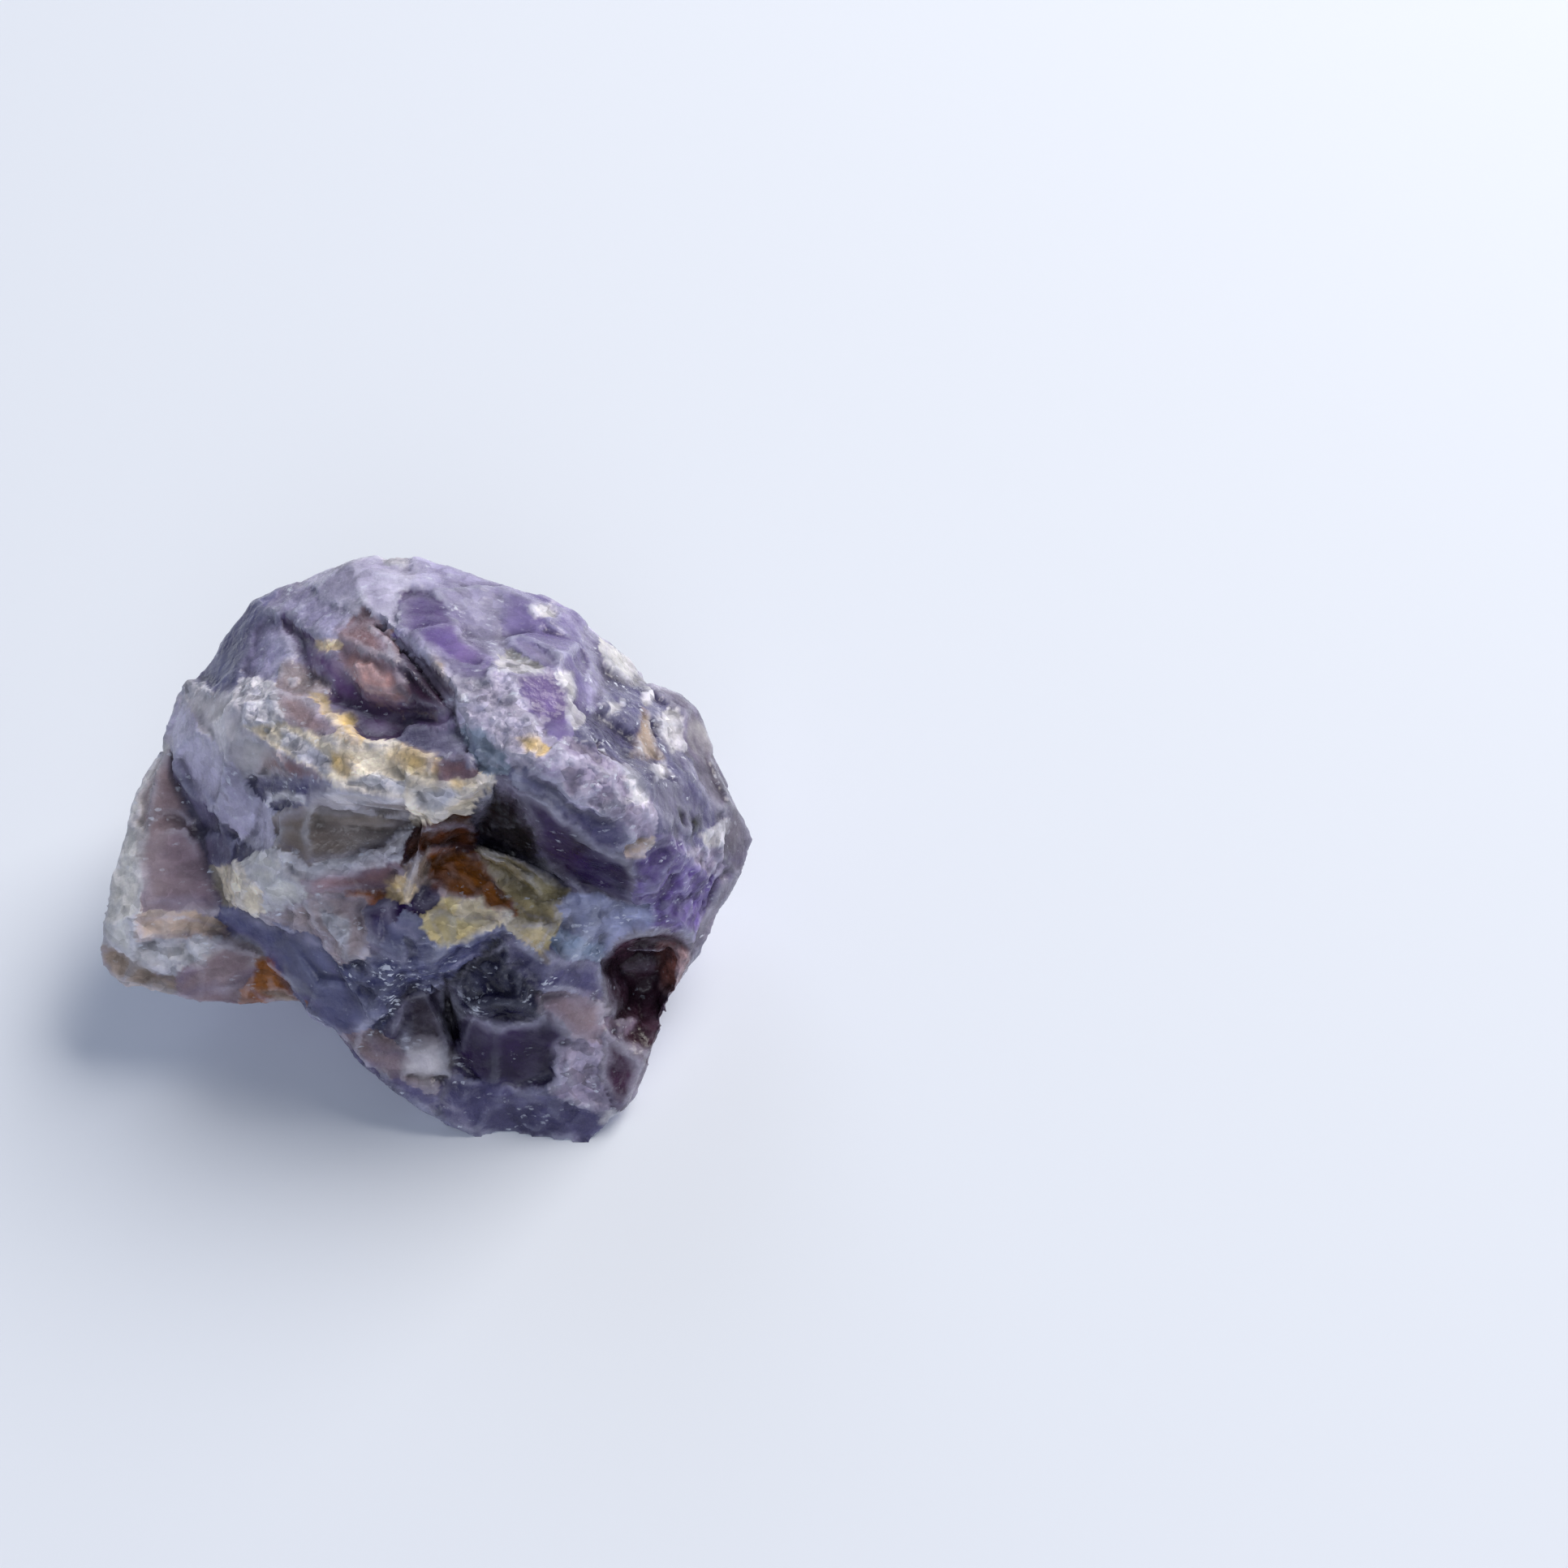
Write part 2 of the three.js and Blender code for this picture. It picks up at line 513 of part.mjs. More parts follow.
// A groove that is widest at the surface and closes at its bottom, which lies along `inward`
function groove(path, width, depth, inward) {
  const down = new THREE.Vector3(...inward).normalize();
  let joined = null;
  for (let i = 0; i + 1 < path.length; i += 1) {
    const ends = [new THREE.Vector3(...path[i]), new THREE.Vector3(...path[i + 1])];
    const along = ends[1].clone().sub(ends[0]).normalize();
    const across = along.clone().cross(down).normalize().multiplyScalar(width / 2);
    const points = [];
    for (const end of ends) {
      const lip = end.clone().addScaledVector(down, -1);
      points.push(lip.clone().add(across), lip.clone().sub(across));
      points.push(end.clone().addScaledVector(down, depth));
    }
    const piece = hull(points.map((point) => point.toArray()));
    joined = joined ? joined.add(piece) : piece;
  }
  return joined;
}

// The same sequence of numbers between 0 and 1 each time
function randomSequence(seed) {
  const [multiplier, increment, modulus] = [1664525, 1013904223, 2 ** 32];
  let state = seed;
  return () => {
    state = (state * multiplier + increment) % modulus;
    return state / modulus;
  };
}

// Every edge longer than the limit is halved until none is left, the same from both its sides
function splitLongEdges(points, triangles, limit) {
  const middles = new Map();
  const middleOf = (a, b) => {
    const key = a < b ? `${a} ${b}` : `${b} ${a}`;
    if (!middles.has(key)) {
      const isLong = points[a].distanceTo(points[b]) > limit;
      const half = points[a].clone().lerp(points[b], 0.5);
      middles.set(key, isLong ? points.push(half) - 1 : -1);
    }
    return middles.get(key);
  };
  const smaller = [];
  for (const [a, b, c] of triangles) {
    const [ab, bc, ca] = [middleOf(a, b), middleOf(b, c), middleOf(c, a)];
    if (ab >= 0 && bc >= 0 && ca >= 0) {
      smaller.push([a, ab, ca], [ab, b, bc], [ca, bc, c], [ab, bc, ca]);
    } else if (ab < 0 && bc < 0 && ca < 0) {
      smaller.push([a, b, c]);
    } else {
      smaller.push(...splitPartly([a, b, c], [ab, bc, ca], points));
    }
  }
  return smaller.length === triangles.length ? smaller : splitLongEdges(points, smaller, limit);
}

// A triangle with one or two halved edges
function splitPartly(corners, halves, points) {
  let [a, b, c] = corners;
  let [ab, bc, ca] = halves;
  while (ab < 0 || (ca >= 0 && bc < 0)) {
    [a, b, c] = [b, c, a];
    [ab, bc, ca] = [bc, ca, ab];
  }
  if (bc < 0) {
    return [[a, ab, c], [ab, b, c]];
  }
  const first = points[a].distanceTo(points[bc]);
  const second = points[ab].distanceTo(points[c]);
  return first < second
    ? [[ab, b, bc], [a, ab, bc], [a, bc, c]]
    : [[ab, b, bc], [a, ab, c], [ab, bc, c]];
}

// The broken faces aren't flat: each point is pushed a little by noise that depends on its place
function roughen(body) {
  const mesh = body.getMesh();
  const points = [];
  for (let i = 0; i < mesh.vertProperties.length; i += 3) {
    points.push(new THREE.Vector3(...mesh.vertProperties.slice(i, i + 3)));
  }
  const triangles = [];
  for (let i = 0; i < mesh.triVerts.length; i += 3) {
    triangles.push([...mesh.triVerts.slice(i, i + 3)]);
  }
  const split = splitLongEdges(points, triangles, longestEdge);
  const noise = new SimplexNoise({ random: randomSequence(noiseSeed) });
  const moved = points.map((point) => {
    const push = new THREE.Vector3();
    for (const { spacing, height } of bumps) {
      const [x, y, z] = point.clone().divideScalar(spacing).toArray();
      push.x += height * noise.noise3d(x, y, z);
      push.y += height * noise.noise3d(y + noiseShift, z, x);
      push.z += height * noise.noise3d(z, x + 2 * noiseShift, y);
    }
    return point.clone().add(push);
  });
  const geometry = new THREE.BufferGeometry().setFromPoints(moved);
  geometry.setIndex(split.flat());
  return solid(geometry);
}

function bodyGeometry(body) {
  const mesh = body.getMesh();
  const geometry = new THREE.BufferGeometry();
  geometry.setAttribute('position', new THREE.BufferAttribute(mesh.vertProperties, 3));
  geometry.setIndex(new THREE.BufferAttribute(mesh.triVerts, 1));
  return geometry;
}

let stone = joinWedges([...crownFaces, ...leftFaces, ...rimFaces, ...creamFaces, ...slateFaces,
  ...shelfFaces, ...slabFaces, ...ledgeFaces, ...shoulderFaces, ...quartzFaces, ...frontFaces,
  ...footFaces, ...hiddenFaces]);
stone = stone.add(lobe());
for (const shape of Object.values(lumps)) {
  stone = stone.add(stretched(new THREE.DodecahedronGeometry(1), shape));
}
for (const shape of Object.values(hollows)) {
  stone = stone.subtract(stretched(new THREE.IcosahedronGeometry(1, 1), shape));
}
for (const points of Object.values(openings)) {
  stone = stone.subtract(hull(points));
}
stone = stone.subtract(groove(crackPath, crackWidth, crackDepth, crackInward));
stone = stone.subtract(groove(darkLinePath, darkLineWidth, darkLineDepth, darkLineInward));
stone = roughen(stone);
const floor = new THREE.BoxGeometry(...floorBlock);
floor.translate(0, 0, -floorBlock[2] / 2);
stone = stone.subtract(solid(floor));

// The origin is the middle of the stone's box, on the floor
const geometry = bodyGeometry(stone);
geometry.computeBoundingBox();
const middle = geometry.boundingBox.getCenter(new THREE.Vector3());
geometry.translate(-middle.x, -middle.y, -geometry.boundingBox.min.z);

const material = new THREE.MeshStandardMaterial({ color: 0x8f86a6, roughness: 0.45, metalness: 0 });
const mesh = new THREE.Mesh(geometry, material);
mesh.name = 'rough_amethyst';
const group = new THREE.Group();
group.add(mesh);
export default group;
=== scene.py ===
# %% [markdown]
# # A rough amethyst
#
# The stone is one broken chunk of banded quartz. Some of it is clear purple glass, some is milky
# lilac, and its ridges are crushed white. The measured solid gives its form. This lesson gives that
# form the fine broken surface, the colours and the light that make it read as a real stone.

# %% The measured solid
import math

import bmesh
import bpy
import numpy as np
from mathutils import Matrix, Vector, noise
from mathutils.bvhtree import BVHTree


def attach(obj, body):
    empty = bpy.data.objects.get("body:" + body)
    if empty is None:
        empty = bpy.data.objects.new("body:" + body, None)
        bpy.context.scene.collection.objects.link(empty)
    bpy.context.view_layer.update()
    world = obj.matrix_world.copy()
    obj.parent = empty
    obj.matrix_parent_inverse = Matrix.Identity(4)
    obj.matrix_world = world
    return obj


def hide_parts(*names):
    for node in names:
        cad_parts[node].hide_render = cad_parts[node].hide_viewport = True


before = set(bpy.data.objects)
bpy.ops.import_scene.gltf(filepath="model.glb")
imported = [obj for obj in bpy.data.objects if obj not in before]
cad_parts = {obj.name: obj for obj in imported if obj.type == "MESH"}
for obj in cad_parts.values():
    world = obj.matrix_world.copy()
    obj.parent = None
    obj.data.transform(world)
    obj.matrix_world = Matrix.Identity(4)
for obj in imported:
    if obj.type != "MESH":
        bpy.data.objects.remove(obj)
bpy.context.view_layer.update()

MM = 0.001
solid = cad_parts["rough_amethyst"]

# %% [markdown]
# ## The camera
#
# The stone was looked down on from its front, about fifty degrees below level. Setting the camera
# first means that every later step can be judged in the right frame. The focal length is given in
# pixels of a square picture, so it turns into a lens length by the width of Blender's sensor.

# %% The camera
PICTURE = 1932
FOCAL_PIXELS = 2300
LOOK_DOWN = math.radians(50)
EYE = Vector((35.183, -115.385, 162)) * MM

camera_data = bpy.data.cameras.new("camera")
camera_data.sensor_width = 36
camera_data.lens = FOCAL_PIXELS / PICTURE * camera_data.sensor_width
camera_data.clip_start = 0.01
camera = bpy.data.objects.new("camera", camera_data)
camera.location = EYE
camera.rotation_euler = (math.radians(90) - LOOK_DOWN, 0, 0)
bpy.context.scene.collection.objects.link(camera)
bpy.context.scene.camera = camera
print("lens:", round(camera_data.lens, 2), "mm")

# %% [markdown]
# ## A skin that is fine enough to carve
#
# The solid is made of flat triangles a few millimetres wide. Broken quartz has smooth, slightly
# curved faces between crisp ridges. A voxel remesh spreads small even faces over the whole form, so
# that it can be smoothed and then carved. It works on a copy, because the solid stays as it is.

# %% An even skin
SKIN_SPACING = 0.31 * MM
WELD_REACH = 0.001 * MM

chunk_mesh = solid.data.copy()
chunk_mesh.name = "amethyst_chunk"
chunk = bpy.data.objects.new("amethyst_chunk", chunk_mesh)
bpy.context.scene.collection.objects.link(chunk)

loose = bmesh.new()
loose.from_mesh(chunk_mesh)
bmesh.ops.remove_doubles(loose, verts=loose.verts, dist=WELD_REACH)
loose.to_mesh(chunk_mesh)
loose.free()

remesh = chunk.modifiers.new("even skin", "REMESH")
remesh.mode = "VOXEL"
remesh.voxel_size = SKIN_SPACING
evaluated = chunk.evaluated_get(bpy.context.evaluated_depsgraph_get())
skin = bpy.data.meshes.new_from_object(evaluated)
chunk.modifiers.clear()
chunk.data = skin
bpy.data.meshes.remove(chunk_mesh)

fine = bmesh.new()
fine.from_mesh(skin)
bmesh.ops.triangulate(fine, faces=fine.faces)
fine.to_mesh(skin)
fine.free()
print("skin:", len(skin.vertices), "points,", len(skin.polygons), "triangles")

# %% [markdown]
# ## Faces smooth, ridges crisp
#
# Plain smoothing would wear the stone down to a pebble. Here each point is only drawn towards
# neighbours whose surface faces nearly the same way. Small steps between the solid's triangles
# melt away, while a ridge between two real faces stays.

# %% Smooth the faces
def points_of(mesh):
    """The mesh's points as rows of X, Y and Z."""
    flat = np.empty(len(mesh.vertices) * 3)
    mesh.vertices.foreach_get("co", flat)
    return flat.reshape(-1, 3)


def normals_of(points, triangles):
    """Unit normals at the points, from the triangles around them."""
    a, b, c = points[triangles[:, 0]], points[triangles[:, 1]], points[triangles[:, 2]]
    across = np.cross(b - a, c - a)
    normals = np.zeros_like(points)
    for column in range(3):
        np.add.at(normals, triangles[:, column], across)
    return normals / np.maximum(np.linalg.norm(normals, axis=1), 1e-20)[:, None]


def neighbour_mean(values, edges, weights, count):
    """The weighted mean of each point's neighbours, and the sum of the weights."""
    total = np.zeros((count, values.shape[1]))
    weight = np.zeros(count)
    for here, there in ((0, 1), (1, 0)):
        for column in range(values.shape[1]):
            total[:, column] += np.bincount(
                edges[:, here], weights * values[edges[:, there], column], count
            )
        weight += np.bincount(edges[:, here], weights, count)
    return total / np.maximum(weight, 1e-12)[:, None], weight


def even_mean(values):
    """The plain mean of each point's neighbours."""
    return neighbour_mean(values, edges, np.ones(len(edges)), len(values))[0]


def smoothed(points, rounds, leak):
    """The points smoothed along their faces only. The leak is what still passes over a ridge."""
    for _ in range(rounds):
        normals = normals_of(points, triangles)
        turn = 1 - np.einsum("ij,ij->i", normals[edges[:, 0]], normals[edges[:, 1]])
        weights = np.exp(-turn / RIDGE_SOFTNESS) + leak
        mean, weight = neighbour_mean(points, edges, weights, len(points))
        share = np.minimum(weight / FULL_SUPPORT, 1)[:, None] * SMOOTHING_STEP
        share[on_floor] = 0
        points = points + (mean - points) * share
    return points


RIDGE_SOFTNESS = 0.02
SMOOTHING_ROUNDS = 12
SMOOTHING_LEAK = 1e-4
SMOOTHING_STEP = 0.6
FULL_SUPPORT = 3
FLOOR_REACH = 0.02 * MM

points = points_of(skin)
triangles = np.empty(len(skin.polygons) * 3, dtype=np.int64)
skin.polygons.foreach_get("vertices", triangles)
triangles = triangles.reshape(-1, 3)
edges = np.empty(len(skin.edges) * 2, dtype=np.int64)
skin.edges.foreach_get("vertices", edges)
edges = edges.reshape(-1, 2)
on_floor = points[:, 2] < FLOOR_REACH
points = smoothed(points, SMOOTHING_ROUNDS, SMOOTHING_LEAK)
print("smoothed:", SMOOTHING_ROUNDS, "rounds")

# %% [markdown]
# ## The finishes of the stone
#
# Quartz looks different wherever it broke, grew or was stained. Each finish below is one kind of
# surface that the stone shows, with two close colours that drift into each other, how crushed and
# matt it is, how many bright flecks and painted glints it carries, and how rough it breaks.

# %% The finishes
FINISHES = {
    # name: main colour, second colour, frost, flecks and painted glints, relief in millimetres
    "lilac_haze": ("#c6c1d6", "#a8a2bd", 0.35, 0.35, 0.03),
    "lilac_pale": ("#a39ebb", "#8c86a7", 0.40, 0.40, 0.06),
    "violet": ("#7c6a97", "#66568a", 0.28, 0.20, 0.03),
    "violet_pale": ("#7d729f", "#6a5f92", 0.30, 0.15, 0.025),
    "violet_frost": ("#65518f", "#4a3a70", 0.55, 0.55, 0.12),
    "deep_violet": ("#290a45", "#190830", 0.15, 0.20, 0.02),
    "smoky": ("#6f5280", "#4e395c", 0.12, 0.35, 0.025),
    "slate_blue": ("#65678b", "#4f4e71", 0.22, 0.18, 0.02),
    "slate_frost": ("#5d5f85", "#44456a", 0.55, 0.75, 0.14),
    "slate_lilac": ("#6d6883", "#56526c", 0.25, 0.25, 0.025),
    "slate_dark": ("#242244", "#17152b", 0.35, 0.45, 0.12),
    "blue_grey": ("#5b577b", "#4a4669", 0.35, 0.50, 0.06),
    "grey_dark": ("#432940", "#372137", 0.25, 0.25, 0.03),
    "grey_green": ("#e0dadd", "#bdb7c1", 0.22, 0.18, 0.02),
    "quartz_pale": ("#a1a4c5", "#8388ab", 0.45, 0.55, 0.12),
    "quartz_white": ("#99a8c3", "#7584a2", 0.60, 0.70, 0.22),
    "teal": ("#8f99ab", "#6d7b8e", 0.50, 0.70, 0.2),
    "rock_grey": ("#c2bbd0", "#a39cb3", 0.65, 0.45, 0.18),
    "frosted": ("#e3e0e4", "#c6c2cd", 0.75, 0.40, 0.16),
    "frost_lilac": ("#b2a7bf", "#9187a2", 0.65, 0.50, 0.16),
    "pale_grey": ("#e4e1dd", "#c3c1c1", 0.45, 0.35, 0.06),
    "pale_rim": ("#6a6271", "#575160", 0.30, 0.25, 0.025),
    "cream": ("#eee1cc", "#eedfc6", 0.55, 0.35, 0.12),
    "cream_white": ("#eedfc3", "#eedbb3", 0.55, 0.25, 0.1),
    "cream_yellow": ("#eedeac", "#eed390", 0.60, 0.25, 0.16),
    "green_cream": ("#beac85", "#9d9068", 0.50, 0.40, 0.12),
    "sand": ("#b9a597", "#9e897a", 0.50, 0.35, 0.1),
    "sand_grey": ("#7d687d", "#645364", 0.55, 0.45, 0.14),
    "ochre": ("#eed5ad", "#eecc8a", 0.65, 0.25, 0.1),
    "orange": ("#a8682a", "#84480f", 0.50, 0.25, 0.1),
    "rust": ("#5e2f14", "#3e1d0c", 0.50, 0.15, 0.1),
    "pale_rust": ("#e8b6b0", "#c1958f", 0.30, 0.25, 0.03),
    "pale_pink": ("#baaaad", "#9f8f94", 0.40, 0.45, 0.1),
    "mauve": ("#9e898d", "#857179", 0.35, 0.30, 0.03),
    "mauve_pink": ("#ad9ba0", "#917d88", 0.32, 0.25, 0.025),
    "mauve_dark": ("#3a2a3a", "#2a1e2b", 0.25, 0.20, 0.025),
    "taupe": ("#9d797b", "#7a5e64", 0.30, 0.25, 0.04),
    "hollow": ("#80736b", "#9e9690", 0.15, 0.12, 0.015),
    # Partly the arch's own plum colour and partly painted shade: the inside of the arch is darkened as if
    # shaded
    "arch_plum_and_painted_shade": ("#4d2f40", "#33202c", 0.45, 0.20, 0.06),
    "arch_pale": ("#a26c63", "#84564e", 0.50, 0.20, 0.06),
    "black_crust": ("#080808", "#0d0c11", 0.60, 0.0, 0.1),
    # Painted shade: black stands for the deep shade inside the recesses
    "black": ("#0a0710", "#0d0914", 0.55, 0.10, 0.025),
}


def linear(hex_colour):
    """An sRGB colour such as #9a93b0 as linear red, green and blue."""
    channels = [int(hex_colour[i : i + 2], 16) / 255 for i in (1, 3, 5)]
    return np.array([c / 12.92 if c <= 0.04045 else ((c + 0.055) / 1.055) ** 2.4 for c in channels])


print("finishes:", len(FINISHES))

# %% [markdown]
# ## Where each finish lies
#
# A mineral map like this has no rule, so it is drawn as a painter would block in a stone
# from life. Each patch is an outline in the picture's pixels, laid on the stone along the camera's
# sight lines. Later patches lie over earlier ones.

# %% The map of patches
MAP = [
    # name, finish and outline in pixels
    ("upper left facet", "slate_blue",
     "344,716 329,740 318,770 302,814 285,851 275,849 255,844 253,830 227,840 264,803 302,753 "
     "318,740"),
    ("crown grey", "lilac_haze",
     "346,715 379,697 414,698 442,707 443,723 455,750 431,755 412,742 395,740 379,719"),
    ("crown pale", "lilac_pale",
     "349,715 379,719 395,740 428,750 428,778 412,789 387,789 365,770 351,761 335,753"),
    ("left of window", "lilac_pale",
     "335,764 357,775 368,792 373,808 379,819 357,825 343,814 335,838 310,835 299,825 302,814 "
     "318,778"),
    ("knob", "lilac_haze",
     "446,693 464,674 494,685 521,693 540,696 540,715 494,712 475,737 483,750 477,761 458,750 "
     "442,720"),
    ("knob white", "frosted",
     "466,676 494,685 513,696 494,701 472,690"),
    ("frosted lump", "frosted",
     "285,849 313,833 335,840 343,857 355,885 349,893 318,900 302,893 285,879 275,863"),
    ("edge white", "frosted",
     "216,849 231,838 253,844 255,849 231,857 228,871 220,857"),
    ("beige patch", "pale_pink",
     "346,814 373,814 387,825 406,841 408,863 387,852 373,857 357,852 343,846"),
    ("mauve patch", "mauve",
     "340,849 373,857 384,868 401,882 412,899 401,904 384,907 357,896 346,874"),
    ("window", "smoky",
     "351,761 365,770 387,789 387,801 417,803 423,825 439,846 464,860 505,867 540,875 540,893 "
     "519,890 494,901 480,904 442,903 439,885 425,879 409,877 406,860 406,838 384,825 373,805 "
     "365,789 351,775"),
    ("plate brown", "taupe",
     "420,803 439,797 464,814 491,825 508,849 505,866 464,860 439,846 423,825"),
    ("plate upper", "taupe",
     "420,778 450,755 469,781 475,803 491,825 464,814 428,794"),
    ("plate rust", "pale_rust",
     "434,816 458,819 475,841 486,857 464,856 442,841"),
    ("grey slab", "grey_dark",
     "491,822 505,811 538,835 540,871 505,867 508,849"),
    ("flake top", "ochre",
     "385,789 420,788 420,800 392,803 385,797"),
    ("flake strip", "ochre",
     "384,852 408,862 409,877 438,879 441,893 434,899 441,917 431,914 420,899 409,893 401,874"),
    ("left strip", "lilac_haze",
     "197,904 206,871 220,860 231,868 239,893 264,920 296,956 318,989 338,1019 340,1030 302,1022 "
     "285,1016 264,1003 228,962 209,923"),
    ("grey facet", "grey_green",
     "228,866 253,852 285,852 302,896 338,923 362,937 401,958 357,956 302,956 275,923 247,893"),
    ("dark triangle", "taupe",
     "335,926 357,934 402,958 373,958 318,953"),
    ("stepped facet", "blue_grey",
     "302,956 357,956 403,964 401,978 379,989 343,989 318,978"),
    ("step dashes", "frosted",
     "324,975 357,978 376,979 373,989 343,986 329,984"),
    ("rim top", "cream",
     "299,897 349,893 384,899 412,918 445,923 494,923 540,934 540,973 521,986 502,986 480,984 "
     "439,975 401,959 368,937 338,920"),
    ("rim white", "frosted",
     "349,899 373,907 398,929 412,951 401,956 373,940 346,918"),
    ("rim white2", "frosted",
     "420,962 466,956 508,964 494,981 453,975"),
    ("rim ochre1", "ochre",
     "409,931 434,931 439,945 428,955 409,948"),
    ("rim ochre2", "ochre",
     "477,934 499,922 530,925 540,937 540,951 508,952 486,945"),
    ("hollow inside", "hollow",
     "343,1014 357,1003 384,990 428,995 466,992 505,989 502,1014 466,1030 425,1049 384,1053 "
     "351,1044"),
    ("hollow edge", "grey_green",
     "401,970 439,975 499,986 505,993 466,993 428,996 390,992 379,989"),
    ("lobe upper", "mauve",
     "200,912 220,962 242,1025 247,1060 143,1060 162,989 187,940"),
    ("lobe edge", "pale_grey",
     "198,907 206,918 192,951 176,978 176,1000 162,1060 143,1060 162,989 187,937"),
    ("seam facet", "slate_lilac",
     "211,929 231,967 264,1003 285,1027 292,1044 287,1060 253,1060 239,1016 222,970"),
    ("seam facet2", "slate_lilac",
     "240,1025 285,1028 292,1042 285,1061 275,1069 258,1061"),
    ("lobe centre", "mauve_pink",
     "176,1023 233,1020 247,1042 261,1075 275,1116 239,1113 179,1110 173,1047"),
    ("lobe rim", "pale_grey",
     "151,1020 174,1020 174,1086 162,1135 162,1185 126,1152 126,1105 137,1053"),
    ("lobe stain", "sand",
     "170,1130 220,1132 275,1143 279,1152 239,1154 173,1157"),
    ("lobe fold", "frosted",
     "173,1161 225,1158 275,1154 247,1174 220,1185 203,1198 165,1198 162,1174"),
    ("lobe low", "mauve",
     "280,1154 307,1163 324,1174 310,1198 280,1217 264,1217 220,1234 217,1209 247,1185"),
    ("lobe tip", "orange",
     "318,1179 338,1182 357,1209 377,1241 357,1241 324,1230 307,1215"),
    ("lobe left", "sand",
     "121,1176 135,1168 162,1185 200,1201 217,1212 217,1234 159,1227 135,1201"),
    ("lobe tip pale", "sand",
     "324,1223 351,1223 370,1234 373,1242 351,1239"),
    ("slate band", "slate_blue",
     "275,1113 302,1130 318,1138 357,1143 384,1157 406,1168 414,1195 447,1217 466,1228 447,1267 "
     "414,1270 395,1245 373,1228 357,1209 338,1179 313,1163 285,1154"),
    ("frosty band", "slate_frost",
     "414,1190 450,1185 466,1179 540,1195 538,1212 499,1231 461,1259 445,1239"),
    ("cream block", "cream",
     "264,1069 285,1064 302,1078 318,1094 324,1121 313,1132 285,1113 266,1097"),
    ("white lump", "pale_grey",
     "307,1069 346,1072 370,1086 370,1105 343,1119 327,1116 318,1094"),
    ("hollow lip", "frosted",
     "343,1056 357,1053 384,1069 434,1058 472,1045 494,1025 505,1023 494,1053 472,1067 434,1075 "
     "384,1082 357,1075"),
    ("hollow floor", "hollow",
     "346,1020 499,1020 488,1025 472,1042 434,1053 384,1061 357,1047 346,1036"),
    ("brown lip", "taupe",
     "373,1083 434,1075 475,1067 494,1078 477,1094 439,1098 398,1095"),
    ("lip orange", "orange",
     "425,1100 466,1100 461,1108 434,1108"),
    ("lip gold", "ochre",
     "475,1089 494,1078 510,1080 505,1094 480,1100"),
    ("pink lumps", "pale_pink",
     "373,1108 401,1102 450,1110 453,1163 439,1182 412,1174 398,1149 357,1138 329,1130 370,1113"),
    ("pink lump white", "frosted",
     "395,1119 428,1130 431,1152 417,1168 406,1149"),
    ("slate patch", "deep_violet",
     "447,1121 475,1116 480,1138 472,1174 464,1174 455,1152"),
    ("slate patch2", "slate_blue",
     "466,1141 508,1143 516,1174 494,1185 469,1176"),
    ("low left pink", "mauve",
     "417,1272 453,1275 466,1294 538,1305 540,1349 494,1330 453,1311 425,1289"),
    ("low left edge", "blue_grey",
     "379,1245 414,1270 453,1313 540,1357 540,1374 466,1324 412,1294 379,1250"),
    ("low left dark", "deep_violet",
     "488,1261 499,1234 540,1220 540,1289 508,1283"),
    ("slab pale", "lilac_pale",
     "500,688 556,699 618,719 615,778 607,828 593,826 573,783 545,744 517,725"),
    ("slab purple", "violet",
     "500,733 525,730 548,750 573,781 607,817 595,834 567,834 545,812 517,795 500,783"),
    ("slab purple edge", "lilac_haze",
     "500,783 517,795 545,812 567,834 556,834 534,817 500,792"),
    ("slab right", "violet_pale",
     "618,722 668,739 691,744 713,778 730,817 741,845 736,884 713,873 696,834 680,812 640,792 "
     "621,772"),
    ("slab white", "frosted",
     "653,743 680,741 689,750 682,762 663,758"),
    ("slab centre", "violet",
     "629,834 668,828 694,845 708,873 702,893 668,893 652,879 640,854"),
    ("slab dash", "frosted",
     "609,817 623,812 660,820 668,830 640,832 618,828"),
    ("slab ridge", "frosted",
     "691,823 705,828 709,862 713,893 702,890 696,856 688,840"),
    ("slab band", "lilac_pale",
     "719,781 733,806 750,834 747,862 736,884 724,873 724,828"),
    ("grey rock", "rock_grey",
     "553,828 595,834 632,840 640,862 652,882 668,884 668,907 657,929 635,943 618,929 584,904 "
     "562,884 556,856"),
    ("teal crystals", "teal",
     "576,898 595,898 623,929 621,943 604,941 584,921"),
    ("rock ochre", "ochre",
     "640,909 666,909 663,927 646,928"),
    ("slab gold", "sand",
     "531,812 545,817 551,834 536,828"),
    ("slab slate", "grey_dark",
     "500,812 517,812 536,828 556,851 556,873 551,879 522,870 500,868"),
    ("window tip", "smoky",
     "500,869 551,879 560,886 528,894 500,892"),
    ("layered edge", "slate_lilac",
     "500,893 517,893 556,904 573,929 581,943 556,936 528,927 500,920"),
    ("rim gold", "ochre",
     "500,921 534,927 536,936 528,953 500,953"),
    ("rim tip", "cream",
     "500,952 536,963 567,957 607,964 584,983 534,1007 511,1008 500,997"),
    ("rim mauve", "taupe",
     "531,936 567,938 581,955 542,963"),
    ("rim tip white", "frosted",
     "511,974 551,971 567,983 534,997 511,994"),
    ("rim tip ochre", "ochre",
     "556,962 572,963 567,971 556,970"),
    ("ledge top", "frost_lilac",
     "657,932 696,929 730,921 769,943 806,966 810,983 795,1011 786,1028 769,1011 719,994 696,983 "
     "657,957"),
    ("ledge slate", "slate_blue",
     "635,952 668,957 696,983 702,997 668,977 637,964"),
    ("ledge face", "blue_grey",
     "696,987 724,998 769,1011 781,1030 769,1044 738,1046 708,1014"),
    ("ledge white", "frosted",
